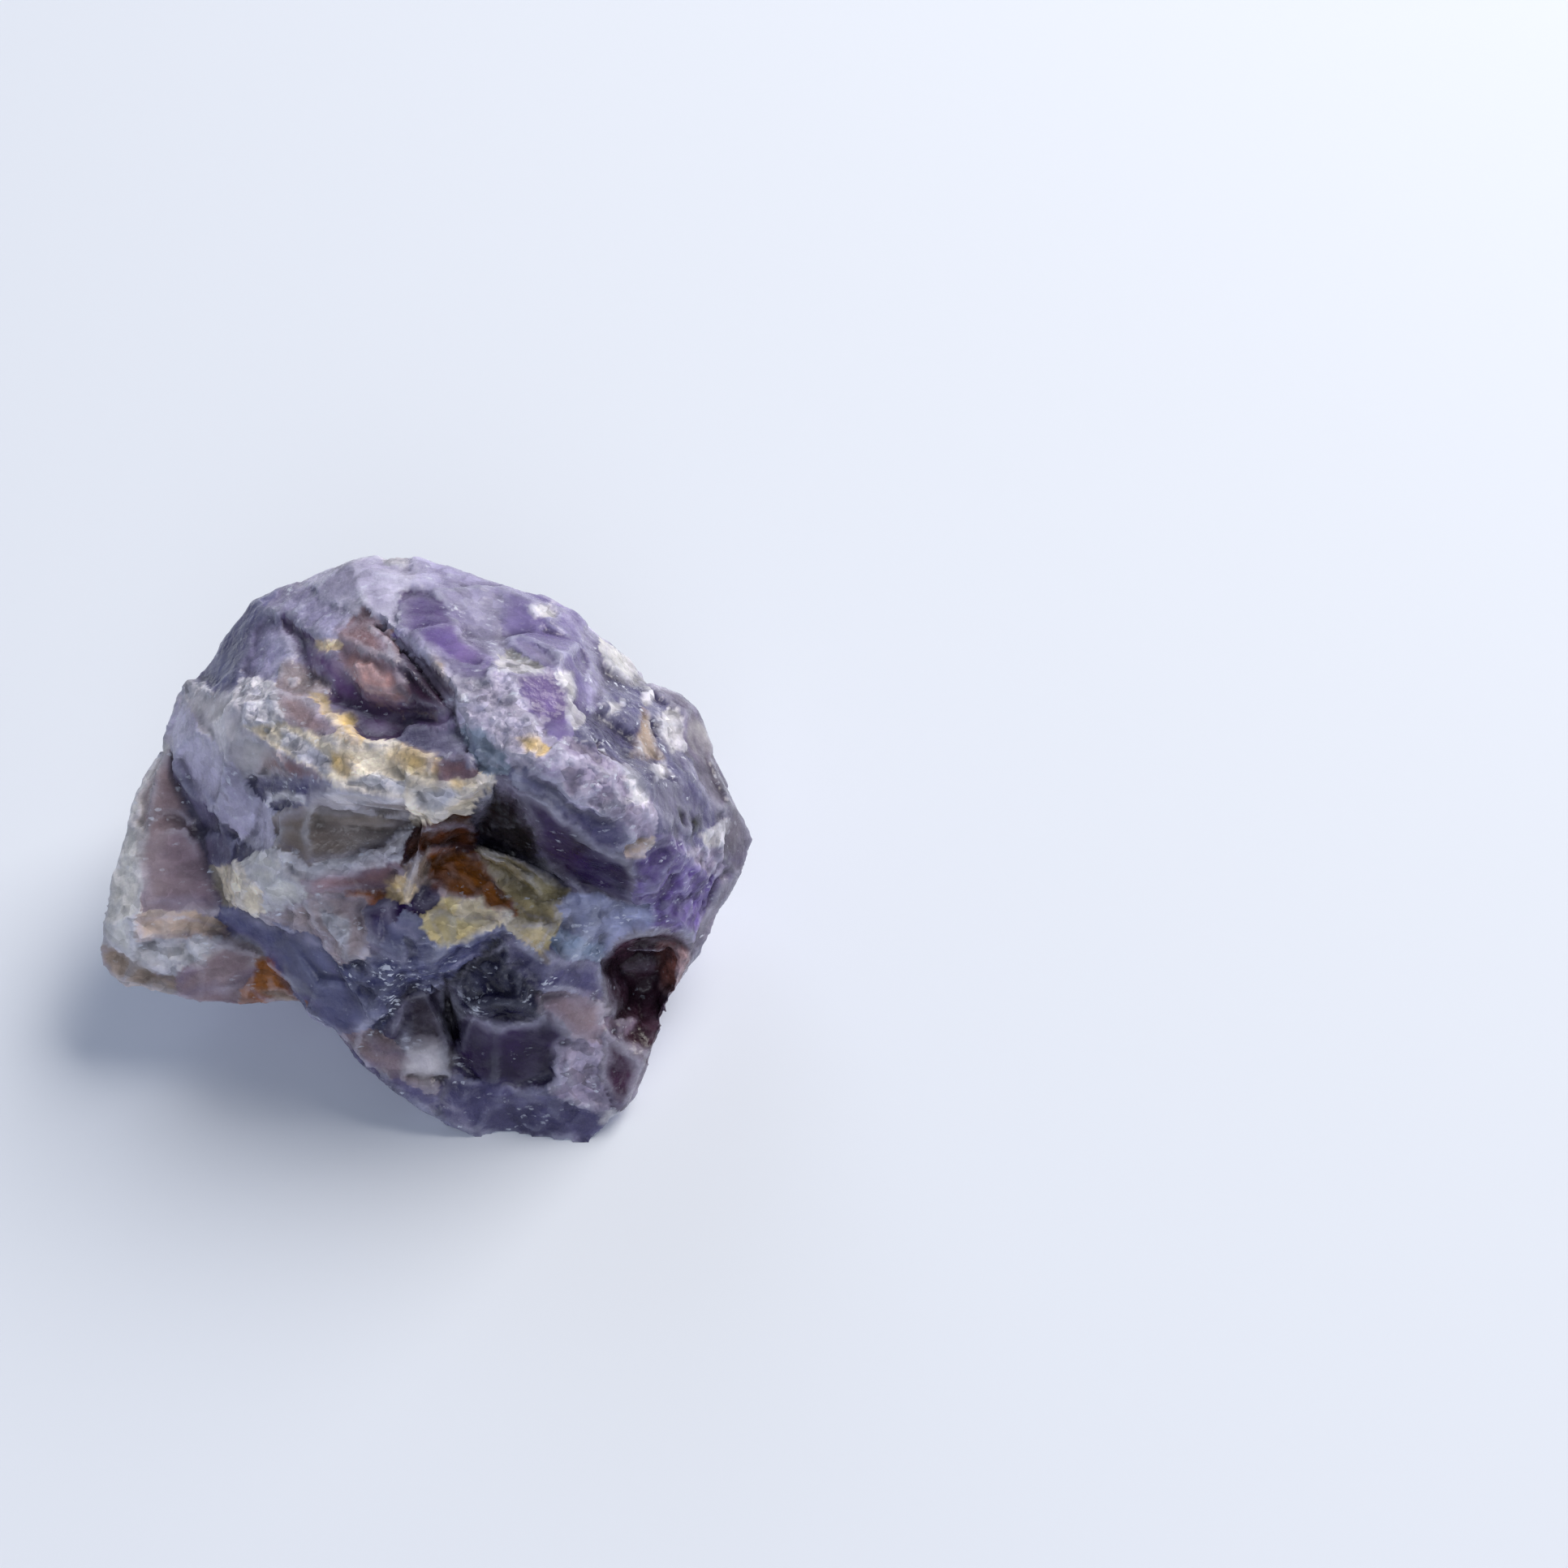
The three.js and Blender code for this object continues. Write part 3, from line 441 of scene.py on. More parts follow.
     "769,943 797,957 809,977 795,994 775,991 767,966"),
    # Painted shade: the recess is painted black for the shade inside it
    ("recess", "black",
     "607,966 593,991 587,1025 618,1060 668,1060 657,1025 640,985"),
    ("violet facet", "deep_violet",
     "612,964 668,988 708,1014 741,1049 713,1060 674,1060 657,1025 635,985"),
    ("shoulder base", "blue_grey",
     "719,901 744,856 753,828 781,828 811,856 823,913 848,941 865,969 893,1008 887,1053 865,1060 "
     "837,1039 809,991 764,941"),
    ("shoulder back", "pale_grey",
     "747,795 767,800 786,834 795,842 778,840 753,828"),
    ("shoulder white1", "frosted",
     "744,864 765,867 758,880 748,882"),
    ("shoulder white2", "frosted",
     "792,849 804,851 804,866 793,868"),
    ("peach blob", "sand",
     "792,875 801,882 806,913 813,936 792,934 780,931 786,898"),
    ("white oval", "frosted",
     "810,882 831,878 845,896 840,922 828,925 814,901"),
    ("small white", "frosted",
     "797,943 814,943 820,955 806,964"),
    ("shoulder slate", "slate_lilac",
     "809,966 831,963 854,997 848,1033 831,1022 811,991"),
    ("shoulder frost", "frosted",
     "868,1025 893,1011 907,1016 893,1042 876,1050"),
    ("pale rim", "pale_rim",
     "797,842 834,848 851,868 859,893 884,929 904,974 926,1014 928,1039 915,1060 893,1060 893,1008 "
     "865,957 848,924 845,890 823,856"),
    ("black mineral", "black_crust",
     "849,1011 861,1007 866,1016 864,1025 853,1025"),
    ("black mineral2", "black_crust",
     "834,998 841,1001 838,1018 834,1015"),
    ("pink bit", "sand",
     "775,1044 797,1042 792,1053 778,1053"),
    ("purple frosted", "violet_frost",
     "781,1062 820,1042 837,1037 876,1062 890,1087 876,1118 851,1152 823,1143 797,1135 781,1113"),
    ("violet facet2", "deep_violet",
     "657,1020 691,1020 724,1045 753,1051 781,1062 781,1113 758,1104 719,1104 696,1090 682,1071 "
     "657,1042"),
    ("right corner", "frost_lilac",
     "842,1045 865,1042 893,1051 893,1085 870,1071 854,1062"),
    ("grey quartz", "quartz_pale",
     "696,1101 747,1101 781,1113 797,1115 809,1127 797,1138 769,1146 747,1169 741,1177 708,1152 "
     "691,1115"),
    ("glitter", "quartz_white",
     "694,1157 713,1152 741,1163 744,1180 702,1183 688,1177"),
    ("grey low", "blue_grey",
     "626,1160 668,1177 702,1188 738,1191 741,1222 730,1230 696,1222 657,1216 626,1186"),
    ("shelf green", "green_cream",
     "635,1141 680,1138 674,1155 668,1169 674,1186 663,1177 646,1157"),
    ("shelf slab", "green_cream",
     "593,1042 626,1054 657,1076 682,1090 701,1100 685,1113 691,1129 680,1135 646,1127 632,1110 "
     "612,1087 595,1062"),
    ("shelf orange", "orange",
     "528,1051 570,1045 593,1056 612,1087 632,1107 629,1124 607,1127 584,1104 556,1107 528,1090"),
    ("shelf cream", "cream_white",
     "567,1110 595,1104 601,1118 629,1124 612,1132 595,1132 565,1129"),
    ("shelf yellow", "cream_yellow",
     "531,1132 556,1121 567,1132 595,1132 607,1138 593,1149 556,1163 548,1160 536,1146"),
    ("shelf yellow2", "cream_yellow",
     "542,1104 567,1107 565,1129 551,1124"),
    ("pocket wall", "rust",
     "517,1020 590,1020 590,1045 570,1045 528,1051 500,1065 500,1037"),
    ("pocket left", "sand",
     "500,1065 528,1051 531,1090 517,1090 500,1085"),
    # Painted shade: black for the shade deep in the recess
    ("recess2", "black",
     "584,1020 657,1020 657,1042 682,1071 694,1093 668,1082 626,1054 593,1042"),
    ("shelf purple", "deep_violet",
     "514,1090 539,1087 542,1104 525,1118 517,1113"),
    ("frosty band2", "slate_frost",
     "500,1155 528,1166 551,1166 593,1149 612,1146 593,1172 551,1194 500,1222"),
    # Painted shade: black for the shade inside the cavity
    ("cavity", "black",
     "542,1218 556,1216 566,1242 572,1264 566,1301 556,1273 543,1239"),
    ("slate block", "slate_dark",
     "565,1200 595,1177 626,1166 629,1188 668,1216 671,1244 640,1261 607,1258 573,1239"),
    ("low purple", "deep_violet",
     "570,1253 612,1261 657,1258 674,1244 696,1267 708,1281 691,1289 688,1309 680,1329 640,1343 "
     "598,1329 562,1317 559,1301"),
    ("column", "mauve_pink",
     "668,1228 696,1225 738,1233 741,1261 736,1281 708,1281 694,1261 674,1242"),
    ("low white", "frost_lilac",
     "688,1284 736,1278 730,1317 741,1357 753,1379 719,1362 680,1348 685,1317"),
    ("right grey", "grey_dark",
     "741,1273 769,1284 789,1315 778,1357 753,1357 741,1329 747,1301"),
    ("low band", "blue_grey",
     "551,1329 598,1331 640,1345 682,1351 753,1382 769,1382 738,1399 680,1404 612,1404 570,1385 "
     "545,1357"),
    ("low right white", "frosted",
     "747,1368 769,1374 758,1388 738,1385"),
    # Plum colour with painted shade inside the arch
    ("arch inside", "arch_plum_and_painted_shade",
     "747,1177 769,1152 792,1141 814,1141 845,1157 851,1188 831,1228 825,1247 834,1267 817,1289 "
     "792,1301 753,1267 747,1244"),
    ("arch beige", "arch_pale",
     "811,1177 845,1172 848,1194 834,1225 817,1216"),
    ("arch block", "sand_grey",
     "744,1256 781,1253 789,1258 769,1281 747,1264"),
    ("thin rim", "pale_rim",
     "887,1087 904,1076 893,1113 873,1152 851,1188 837,1233 831,1228 862,1172"),
    ("low left facet", "mauve_dark",
     "500,1228 528,1222 551,1267 560,1301 553,1334 500,1329"),
    ("low left grey", "grey_green",
     "500,1289 536,1289 553,1303 553,1323 528,1331 500,1323"),
]
PATCHES = [
    (finish, [tuple(map(int, spot.split(","))) for spot in outline.split()])
    for _, finish, outline in MAP
]
print("patches:", len(PATCHES))

# %% [markdown]
# The sides that the camera doesn't see get patches too, as balls of one finish. They carry on the
# zoning of the front: purple glass inside, milky lilac round it and crushed white on the ridges.

# %% The hidden sides
HIDDEN_PATCHES = [
    # finish, centre and radius in millimetres
    ("violet", (-2, 27, 30), 11),
    ("lilac_pale", (16, 24, 27), 8),
    ("deep_violet", (8, 27, 15), 8),
    ("blue_grey", (-14, 24, 14), 10),
    ("frosted", (-9, 22, 33), 5),
    ("frosted", (22, 17, 20), 5),
    ("cream", (-22, 14, 20), 6),
    ("ochre", (-17, 17, 24), 3.5),
    ("slate_blue", (-20, 8, 7), 8),
    ("sand", (2, 24, 5), 5),
    ("ochre", (6, 24, 6), 3),
    ("violet_pale", (28, 4, 14), 8),
    ("frost_lilac", (26, -4, 8), 5),
    ("smoky", (24, 10, 5), 6),
    ("pale_grey", (-8, 18, 3), 6),
    ("frosted", (12, 19, 3), 4),
]
print("hidden patches:", len(HIDDEN_PATCHES))

# %% [markdown]
# ## Laying the finishes on the skin
#
# A point is painted from the map only if nothing stands between it and the camera. Straight
# outlines would look cut out, so each point's place is first shifted by noise of two sizes, and
# patches fade over a few pixels, more on glass than on crust. Points just out of sight take on
# what their neighbours show.

# %% Lay the finishes
CORE = "lilac_haze"
CORE_BANDS = (("blue_grey", 0.12), ("violet", 0.42), ("pale_grey", 0.6))
ZONE_EDGE = 0.12
CRISP_EDGE, SOFT_EDGE = 5.5, 26.0
EDGE_ON_GLASS, EDGE_PER_RELIEF = 29.0, 200
GAP_REACH = 40
WANDER = ((2.6 * MM, 5.0), (0.8 * MM, 3.5))
SIGHT_START = 0.4 * MM
CARRY_ROUNDS, CARRY_FADE, CARRY_GAIN = 14, 0.99, 1.6
FROST, FLECKS_AND_GLINTS, RELIEF = 3, 4, 5


def noise_at(points, spacing, shift=0.0):
    """Smooth noise between about -1 and 1 at each point, with bumps of the given spacing."""
    move = Vector((shift, -shift, 2 * shift))
    return np.array([noise.noise(Vector(p) / spacing + move) for p in points])


def in_picture(points):
    """Each point's pixel in the picture."""
    away = points - np.array(EYE)
    depth = away[:, 1] * math.cos(LOOK_DOWN) - away[:, 2] * math.sin(LOOK_DOWN)
    up = away[:, 1] * math.sin(LOOK_DOWN) + away[:, 2] * math.cos(LOOK_DOWN)
    middle = PICTURE / 2
    return np.stack([middle + FOCAL_PIXELS * away[:, 0] / depth, middle - FOCAL_PIXELS * up / depth], 1)


def depth_inside(spots, outline):
    """How far each spot is inside the outline, below zero outside it."""
    starts = np.array(outline, dtype=float)
    ends = np.roll(starts, -1, axis=0)
    nearest = np.full(len(spots), np.inf)
    inside = np.zeros(len(spots), dtype=bool)
    for start, end in zip(starts, ends):
        run = end - start
        along = np.clip(((spots - start) @ run) / (run @ run), 0, 1)
        nearest = np.minimum(nearest, np.linalg.norm(spots - start - along[:, None] * run, axis=1))
        crosses = (spots[:, 1] > start[1]) != (spots[:, 1] > end[1])
        level = np.where(run[1] == 0, 1, run[1])
        at = start[0] + (spots[:, 1] - start[1]) / level * run[0]
        inside ^= crosses & (spots[:, 0] < at)
    return np.where(inside, nearest, -nearest)


def finish_rows(name, drift):
    """The finish's colour, frost, flecks and painted glints, and relief at each point. Drift moves between
    its colours.
    """
    first, second, frost, flecks_and_glints, relief = FINISHES[name]
    share = np.clip(0.5 + drift, 0, 1)[:, None]
    colour = linear(first) * share + linear(second) * (1 - share)
    rest = np.tile([frost, flecks_and_glints, relief], (len(drift), 1))
    return np.hstack([colour, rest])


def laid_over(below, above, share):
    """One set of looks over another, by each point's share."""
    return below * (1 - share) + above * share


normals = normals_of(points, triangles)
drift = 0.8 * noise_at(points, 5 * MM) + 0.5 * noise_at(points, 1.6 * MM, 7)
band = noise_at(points * [1, 1, 1.6], 13 * MM, 3) + 0.35 * noise_at(points, 4 * MM, 9)

# The core's own zoning, under all patches
looks = finish_rows(CORE, drift)
for name, low in CORE_BANDS:
    share = np.clip((band - low) / ZONE_EDGE, 0, 1)[:, None]
    looks = laid_over(looks, finish_rows(name, drift), share)
ragged = noise_at(points, 4 * MM, 21) * 0.35 + noise_at(points, 1.2 * MM, 22) * 0.15
for name, centre, radius in HIDDEN_PATCHES:
    apart = np.linalg.norm(points - np.array(centre) * MM, axis=1) / (radius * MM)
    share = np.clip((1 - apart + ragged) / ZONE_EDGE, 0, 1)[:, None]
    looks = laid_over(looks, finish_rows(name, drift), share)

# What the camera sees, from the map
sights = BVHTree.FromPolygons([Vector(p) for p in points], triangles.tolist())
seen = np.zeros(len(points), dtype=bool)
for index, (point, normal) in enumerate(zip(points, normals)):
    to_eye = EYE - Vector(point)
    if to_eye.dot(Vector(normal)) > 0:
        start = Vector(point) + Vector(normal) * SIGHT_START
        seen[index] = sights.ray_cast(start, to_eye.normalized())[0] is None
spots = in_picture(points)
for spacing, pixels in WANDER:
    spots[:, 0] += pixels * noise_at(points, spacing, 31)
    spots[:, 1] += pixels * noise_at(points, spacing, 47)
painted = looks.copy()
covered = np.zeros(len(points))
owner = np.zeros(len(points), dtype=int)
closest = np.full(len(points), -GAP_REACH)
closest_looks = looks.copy()
for number, (name, outline) in enumerate(PATCHES, start=1):
    corners = np.array(outline)
    above, below = spots > corners.min(0) - GAP_REACH, spots < corners.max(0) + GAP_REACH
    near = seen & np.all(above & below, axis=1)
    depth = depth_inside(spots[near], outline)
    better = depth > closest[near]
    nearer = np.flatnonzero(near)[better]
    closest_looks[nearer] = finish_rows(name, drift[nearer])
    owner[nearer[covered[nearer] < 0.5]] = number
    closest[nearer] = depth[better]
    edge = np.clip(EDGE_ON_GLASS - EDGE_PER_RELIEF * FINISHES[name][4], CRISP_EDGE, SOFT_EDGE)
    share = np.clip(0.5 + depth / edge, 0, 1)[:, None]
    painted[near] = laid_over(painted[near], finish_rows(name, drift[near]), share)
    covered[near] = np.maximum(covered[near], share[:, 0])
    owner[np.flatnonzero(near)[share[:, 0] > 0.5]] = number

# A gap between patches takes on the closest one
gap = (closest > -GAP_REACH) * (1 - covered)
painted += (closest_looks - painted) * gap[:, None]
covered = np.maximum(covered, gap)

# Carry the map round the edges of what is seen
carried = painted * covered[:, None]
trust = covered.copy()
free = covered < 0.5
for _ in range(CARRY_ROUNDS):
    mean = even_mean(np.hstack([carried, trust[:, None]]))
    carried[free] = mean[free, :-1] * CARRY_FADE
    trust[free] = mean[free, -1] * CARRY_FADE
share = np.clip(trust * CARRY_GAIN, 0, 1)[:, None]
looks = laid_over(looks, carried / np.maximum(trust, 1e-6)[:, None], share)
print("seen:", int(seen.sum()), "of", len(points), "points; painted:", int((covered > 0.5).sum()))

# %% [markdown]
# ## Breaking the skin into flat faces
#
# Broken quartz is made of nearly flat faces that meet in crisp ridges. The skin's points are
# sorted into groups, first a few large ones and then many small ones. The points of a group lie
# close together, face the same way and belong to one patch. Each group is then drawn towards the
# plane that fits it best. A small tilt and step of its own keep it apart from its neighbours, as a
# break would. Each group's colour is also made a little lighter or darker: painted shade, as if
# each face caught the light its own way. The small groups only show where the quartz is crushed.

# %% Flat faces
FACE_LAYERS = (
    # count, size, largest step, largest tilt, range of the painted facet shade
    (300, 4.2 * MM, 0.20 * MM, 0.14, 0.18),
    (1700, 1.7 * MM, 0.10 * MM, 0.22, 0.14),
)
FACING_WEIGHT, PATCH_WEIGHT = 2.0, 0.9
FACE_ROUNDS = 6
FLATNESS = 0.9
LARGEST_MOVE = 0.75 * MM
SMALLEST_FACE = 12
FACING_ROUNDS = 4
CRUSHED_FROM, CRUSHED_SPAN = 0.03, 0.06
FACE_SMOOTHING, FACE_LEAK = 2, 1e-3
GROOVE_ROUNDS, GROOVE_FILL = 6, 0.8
SCOOP_ROUNDS, SCOOP_FILL, SCOOP_EDGE_ROUNDS = 45, 0.6, 6
# How many millimetres a finish lies deeper than the solid
SINK = {"black": 2.6, "arch_plum_and_painted_shade": 0.5, "smoky": 0.8, "rust": 1.0, "slate_dark": 0.4}
SINK_ROUNDS = 5
SLICE = 20000
SPIKE_LIMIT, SPIKE_ROUNDS = 0.1 * MM, 3
dice = np.random.default_rng(11)


def nearest_group(features, centres):
    """The number of the closest centre for each row, worked out in slices to save memory."""
    groups = np.empty(len(features), dtype=int)
    for start in range(0, len(features), SLICE):
        rows = features[start : start + SLICE]
        apart = (centres ** 2).sum(1) - 2 * rows @ centres.T
        groups[start : start + SLICE] = apart.argmin(1)
    return groups


def facing_out(points):
    """Each point's outward direction, evened over its neighbours."""
    facing = normals_of(points, triangles)
    for _ in range(FACING_ROUNDS):
        facing = even_mean(facing)
    return facing / np.maximum(np.linalg.norm(facing, axis=1), 1e-9)[:, None]


def flattened(points, groups, strength, step, tilt):
    """The points drawn towards the best plane of their own group, a little tilted and stepped."""
    moved = points.copy()
    order = np.argsort(groups, kind="stable")
    for rows in np.split(order, np.flatnonzero(np.diff(groups[order])) + 1):
        if len(rows) < SMALLEST_FACE:
            continue
        middle = points[rows].mean(0)
        _, axes = np.linalg.eigh(np.cov((points[rows] - middle).T))
        from_middle = points[rows] - middle
        height = from_middle @ axes[:, 0]
        height = height + from_middle @ axes[:, 1:] @ dice.uniform(-tilt, tilt, 2)
        height = height + dice.uniform(-step, step)
        move = np.clip(height, -LARGEST_MOVE, LARGEST_MOVE) * strength[rows]
        moved[rows] -= move[:, None] * axes[:, 0]
    return moved


def despiked(points):
    """The points with every spike drawn in towards its neighbours."""
    for _ in range(SPIKE_ROUNDS):
        off = np.where(on_floor[:, None], 0, points - even_mean(points))
        length = np.maximum(np.linalg.norm(off, axis=1), 1e-9)[:, None]
        points = points - off * (1 - np.minimum(SPIKE_LIMIT / length, 1))
    return points


# Narrow grooves are part filled, as the real crack is a thin dark line
filled = points.copy()
for _ in range(GROOVE_ROUNDS):
    out = np.einsum("ij,ij->i", even_mean(filled) - filled, normals)
    filled += normals * np.clip(out, 0, None)[:, None]
filled[on_floor] = points[on_floor]
points += (filled - points) * GROOVE_FILL

# The dark recesses go deeper than the solid shows. They sink along the sight lines, so every
# finish stays where it was laid
sink = np.array([0] + [SINK.get(name, 0) for name, _ in PATCHES])[owner][:, None]
for _ in range(SINK_ROUNDS):
    sink = even_mean(sink)
away = points - np.array(EYE)
points += away / np.linalg.norm(away, axis=1)[:, None] * sink * MM

# The smoky hollow is a shallow scoop with soft sides
scoops = [number for number, (name, _) in enumerate(PATCHES, start=1) if name == "hollow"]
scoop = np.isin(owner, scoops).astype(float)[:, None]
for _ in range(SCOOP_EDGE_ROUNDS):
    scoop = np.maximum(scoop, even_mean(scoop))
filled = points.copy()
for _ in range(SCOOP_ROUNDS):
    filled += (even_mean(filled) - filled) * scoop
points += (filled - points) * SCOOP_FILL

patch_spots = dice.uniform(-1, 1, (len(PATCHES) + 1, 3))
crushed = np.clip((looks[:, RELIEF] - CRUSHED_FROM) / CRUSHED_SPAN, 0, 1)
unbroken = points
strengths = np.full(len(points), FLATNESS), FLATNESS * crushed
for (count, size, step, tilt, painted_shade_spread), strength in zip(FACE_LAYERS, strengths):
    facing = facing_out(points)
    features = np.hstack([points / size, facing * FACING_WEIGHT, patch_spots[owner] * PATCH_WEIGHT])
    centres = features[dice.choice(len(points), count, replace=False)]
    for _ in range(FACE_ROUNDS):
        groups = nearest_group(features, centres)
        sizes = np.maximum(np.bincount(groups, minlength=count), 1)
        sums = [np.bincount(groups, column, count) for column in features.T]
        centres = np.stack(sums, 1) / sizes[:, None]
    faces = groups * (len(PATCHES) + 1) + owner
    strength[on_floor] = 0
    points = flattened(points, faces, strength, step, tilt)
    # Painted shade: each group's colour is made lighter or darker, as if each face caught the light its own
    # way
    painted_facet_shades = dice.uniform(1 - painted_shade_spread, 1 + painted_shade_spread, count * (len(PATCHES) + 1))
    looks[:, :3] *= 1 + (painted_facet_shades[faces] - 1)[:, None] * (strength / FLATNESS)[:, None]
points = despiked(smoothed(points, FACE_SMOOTHING, FACE_LEAK))
points[:, 2] = np.maximum(points[:, 2], 0)
normals = normals_of(points, triangles)
moved = np.abs(points - unbroken).max() / MM
print("faces:", [layer[0] for layer in FACE_LAYERS], "moved by", round(float(moved), 2), "mm at most")

# %% [markdown]
# ## Worn ridges and painted shade in hollows
#
# A ridge of quartz is bruised white, and its hollows are darkened with painted shade. How far a point
# stands above a smoothed copy of the skin tells which is which: a little smoothing finds fine
# ridges and cracks, and a lot finds the broad ones.

# %% Ridges and hollows
RIDGE_WHITE = linear("#c9ccdb")
RIDGE_SCALES = ((3, 0.05, 0.26), (12, 0.25, 0.22))
RIDGE_FROST = 0.6
HOLLOW_ROUNDS, HOLLOW_DEPTH, PAINTED_HOLLOW_SHADE = 16, 0.22, 0.55
PATCHY_SPACING = 2.2 * MM
DARK_GLASS = 0.2


def proud(points, normals, rounds):
    """How many millimetres each point stands above the skin smoothed for so many rounds."""
    smooth = points.copy()
    for _ in range(rounds):
        smooth = even_mean(smooth)
    return np.einsum("ij,ij->i", points - smooth, normals) / MM


patchy = np.clip(0.7 + 0.6 * noise_at(points, PATCHY_SPACING, 61), 0.15, 1.2)
patchy *= np.clip(looks[:, :3].mean(1) / DARK_GLASS, 0.3, 1)
for rounds, height, share in RIDGE_SCALES:
    ridge = np.clip(proud(points, normals, rounds) / height, 0, 1) * share * patchy
    looks[:, :3] += (RIDGE_WHITE - looks[:, :3]) * ridge[:, None]
    looks[:, FROST] += (RIDGE_FROST - looks[:, FROST]) * ridge
# Painted shade: points that lie below the smoothed skin are darkened, as shade gathers in hollows
hollow = np.clip(-proud(points, normals, HOLLOW_ROUNDS) / HOLLOW_DEPTH, 0, 1) * PAINTED_HOLLOW_SHADE
looks[:, :3] *= 1 - hollow[:, None]
print("ridge points:", int((ridge > 0.1).sum()), "hollow points:", int((hollow > 0.1).sum()))

# %% [markdown]
# ## Carving the broken surface
#
# Quartz has no cleavage, so it breaks in small curved shells and steps. Each shell is carved as a
# cell that tilts its own way. Two sizes of cell are laid over each other, shallow on the glassy
# faces and deep on the crushed ones.

# %% Carve the skin
CHIPS = ((2.2 * MM, 0.5), (1.2 * MM, 0.35))
CHIP_SEAM = 0.12
CHIP_DRAW = 5.3
CHIP_CONTRAST, CHIP_LIMIT, CHIP_DEPTH = 6, 1.3, 1.6
HARD_EDGE = math.radians(38)
# Without a seed Blender tilts the cells by the clock, and every run would give other chips
CHIP_SEED = 1796114872
noise.seed_set(CHIP_SEED)


def chip_heights(points, spacing, shift):
    """The height of tilted cells at each point, from about -0.5 to 0.5, level at the cells' seams."""
    heights = np.empty(len(points))
    move = Vector((shift, shift, -shift))
    for index, point in enumerate(points):
        place = Vector(point) / spacing + move
        near, centres = noise.voronoi(place)
        tilt = noise.noise_vector(centres[0] * CHIP_DRAW)
        seam = min((near[1] - near[0]) / CHIP_SEAM, 1)
        heights[index] = tilt.dot(place - centres[0]) * seam
    return heights


relief = looks[:, RELIEF] * MM
carving = np.zeros(len(points))
for layer, (spacing, depth) in enumerate(CHIPS):
    carving += depth * chip_heights(points, spacing, 10 * layer + 3)
carving = np.clip(carving * CHIP_CONTRAST, -CHIP_LIMIT, CHIP_LIMIT) * relief * CHIP_DEPTH
carving[on_floor] = 0
points = despiked(points + normals * carving[:, None])
points[:, 2] = np.maximum(points[:, 2], 0)
skin.vertices.foreach_set("co", points.ravel())
skin.update()
print("carved by", round(float(np.abs(carving).max() / MM), 2), "mm at most")

# %% [markdown]
# The finishes travel with the skin as attributes, which the material reads. The skin is shaded
# smooth, and only its sharpest edges stay hard.

# %% Attributes and shading
for name, column in (("frost", FROST), ("flecks_and_glints", FLECKS_AND_GLINTS)):
    layer = skin.attributes.new(name, "FLOAT", "POINT")
    layer.data.foreach_set("value", looks[:, column].astype(np.float32))
tint = skin.attributes.new("tint", "FLOAT_COLOR", "POINT")
opaque = np.hstack([looks[:, :3], np.ones((len(points), 1))]).astype(np.float32)
tint.data.foreach_set("color", opaque.ravel())
skin.shade_smooth()
skin.set_sharp_from_angle(angle=HARD_EDGE)
print("attributes:", [layer.name for layer in skin.attributes if not layer.name.startswith(".")])

# %% [markdown]
# ## The material: quartz, broken and part crushed
#
# Quartz is clear glass of IOR 1.54. What makes a rough piece milky is a haze of tiny cracks that
# scatters light inside it, so the shader gets some subsurface light. Where the surface is crushed
# it is matt and white, with small facets that catch the light one by one.

# %% The quartz
def add_node(tree, kind, inputs=(), **settings):
    """Adds a node with its settings. An input is a value, or another node's output to link."""
    node = tree.nodes.new(kind)
    for name, value in settings.items():
        setattr(node, name, value)
    for name, value in dict(inputs).items():
        socket = node.inputs[name]
        if isinstance(value, bpy.types.NodeSocket):
            tree.links.new(value, socket)
        else:
            socket.default_value = value
    return node


def per_metre(millimetres):
    """The scale that gives a pattern this spacing on Object coordinates."""
    return 1 / (millimetres * MM)


quartz = bpy.data.materials.new("broken amethyst quartz")
quartz.use_nodes = True
tree = quartz.node_tree
tree.nodes.clear()
FACTOR, A, B, MIXED = 0, 6, 7, 2


def ramp(value, start, end, low, high):
    """The value carried over from start..end to low..high, and held there outside."""
    inputs = {"Value": value, "From Min": start, "From Max": end, "To Min": low, "To Max": high}
    return add_node(tree, "ShaderNodeMapRange", inputs).outputs[0]


def maths(operation, first, second, **settings):
    """Two values added, subtracted or multiplied."""
    return add_node(tree, "ShaderNodeMath", {0: first, 1: second}, operation=operation, **settings).outputs[0]


def mixed(share, first, second, **settings):
    """Two colours mixed by a share."""
    inputs = {FACTOR: share, A: first, B: second}
    return add_node(tree, "ShaderNodeMix", inputs, data_type="RGBA", **settings).outputs[MIXED]


def turned(rotation, scale):
    """Places on the stone, turned and squeezed, so that a pattern on them is stretched."""
    inputs = {"Vector": place, "Rotation": rotation, "Scale": scale}
    return add_node(tree, "ShaderNodeMapping", inputs).outputs[0]


def clouds(where, spacing, detail, roughness, distortion=0.0):
    """Cloudy noise with so many millimetres between its clouds."""
    inputs = {"Vector": where, "Scale": per_metre(spacing), "Detail": detail}
    inputs |= {"Roughness": roughness, "Distortion": distortion}
    return add_node(tree, "ShaderNodeTexNoise", inputs).outputs[0]


def cells(where, spacing):
    """Angular cells so many millimetres wide, each with a colour drawn for it."""
    inputs = {"Vector": where, "Scale": per_metre(spacing), "Randomness": 1.0}
    return add_node(tree, "ShaderNodeTexVoronoi", inputs).outputs


def draw_of(cell):
    """One of the cell's drawn values, from 0 to 1."""
    return add_node(tree, "ShaderNodeSeparateColor", {"Color": cell["Color"]}).outputs[0]


def from_skin(name, output):
    """What the skin carries under this name."""
    return add_node(tree, "ShaderNodeAttribute", attribute_name=name).outputs[output]


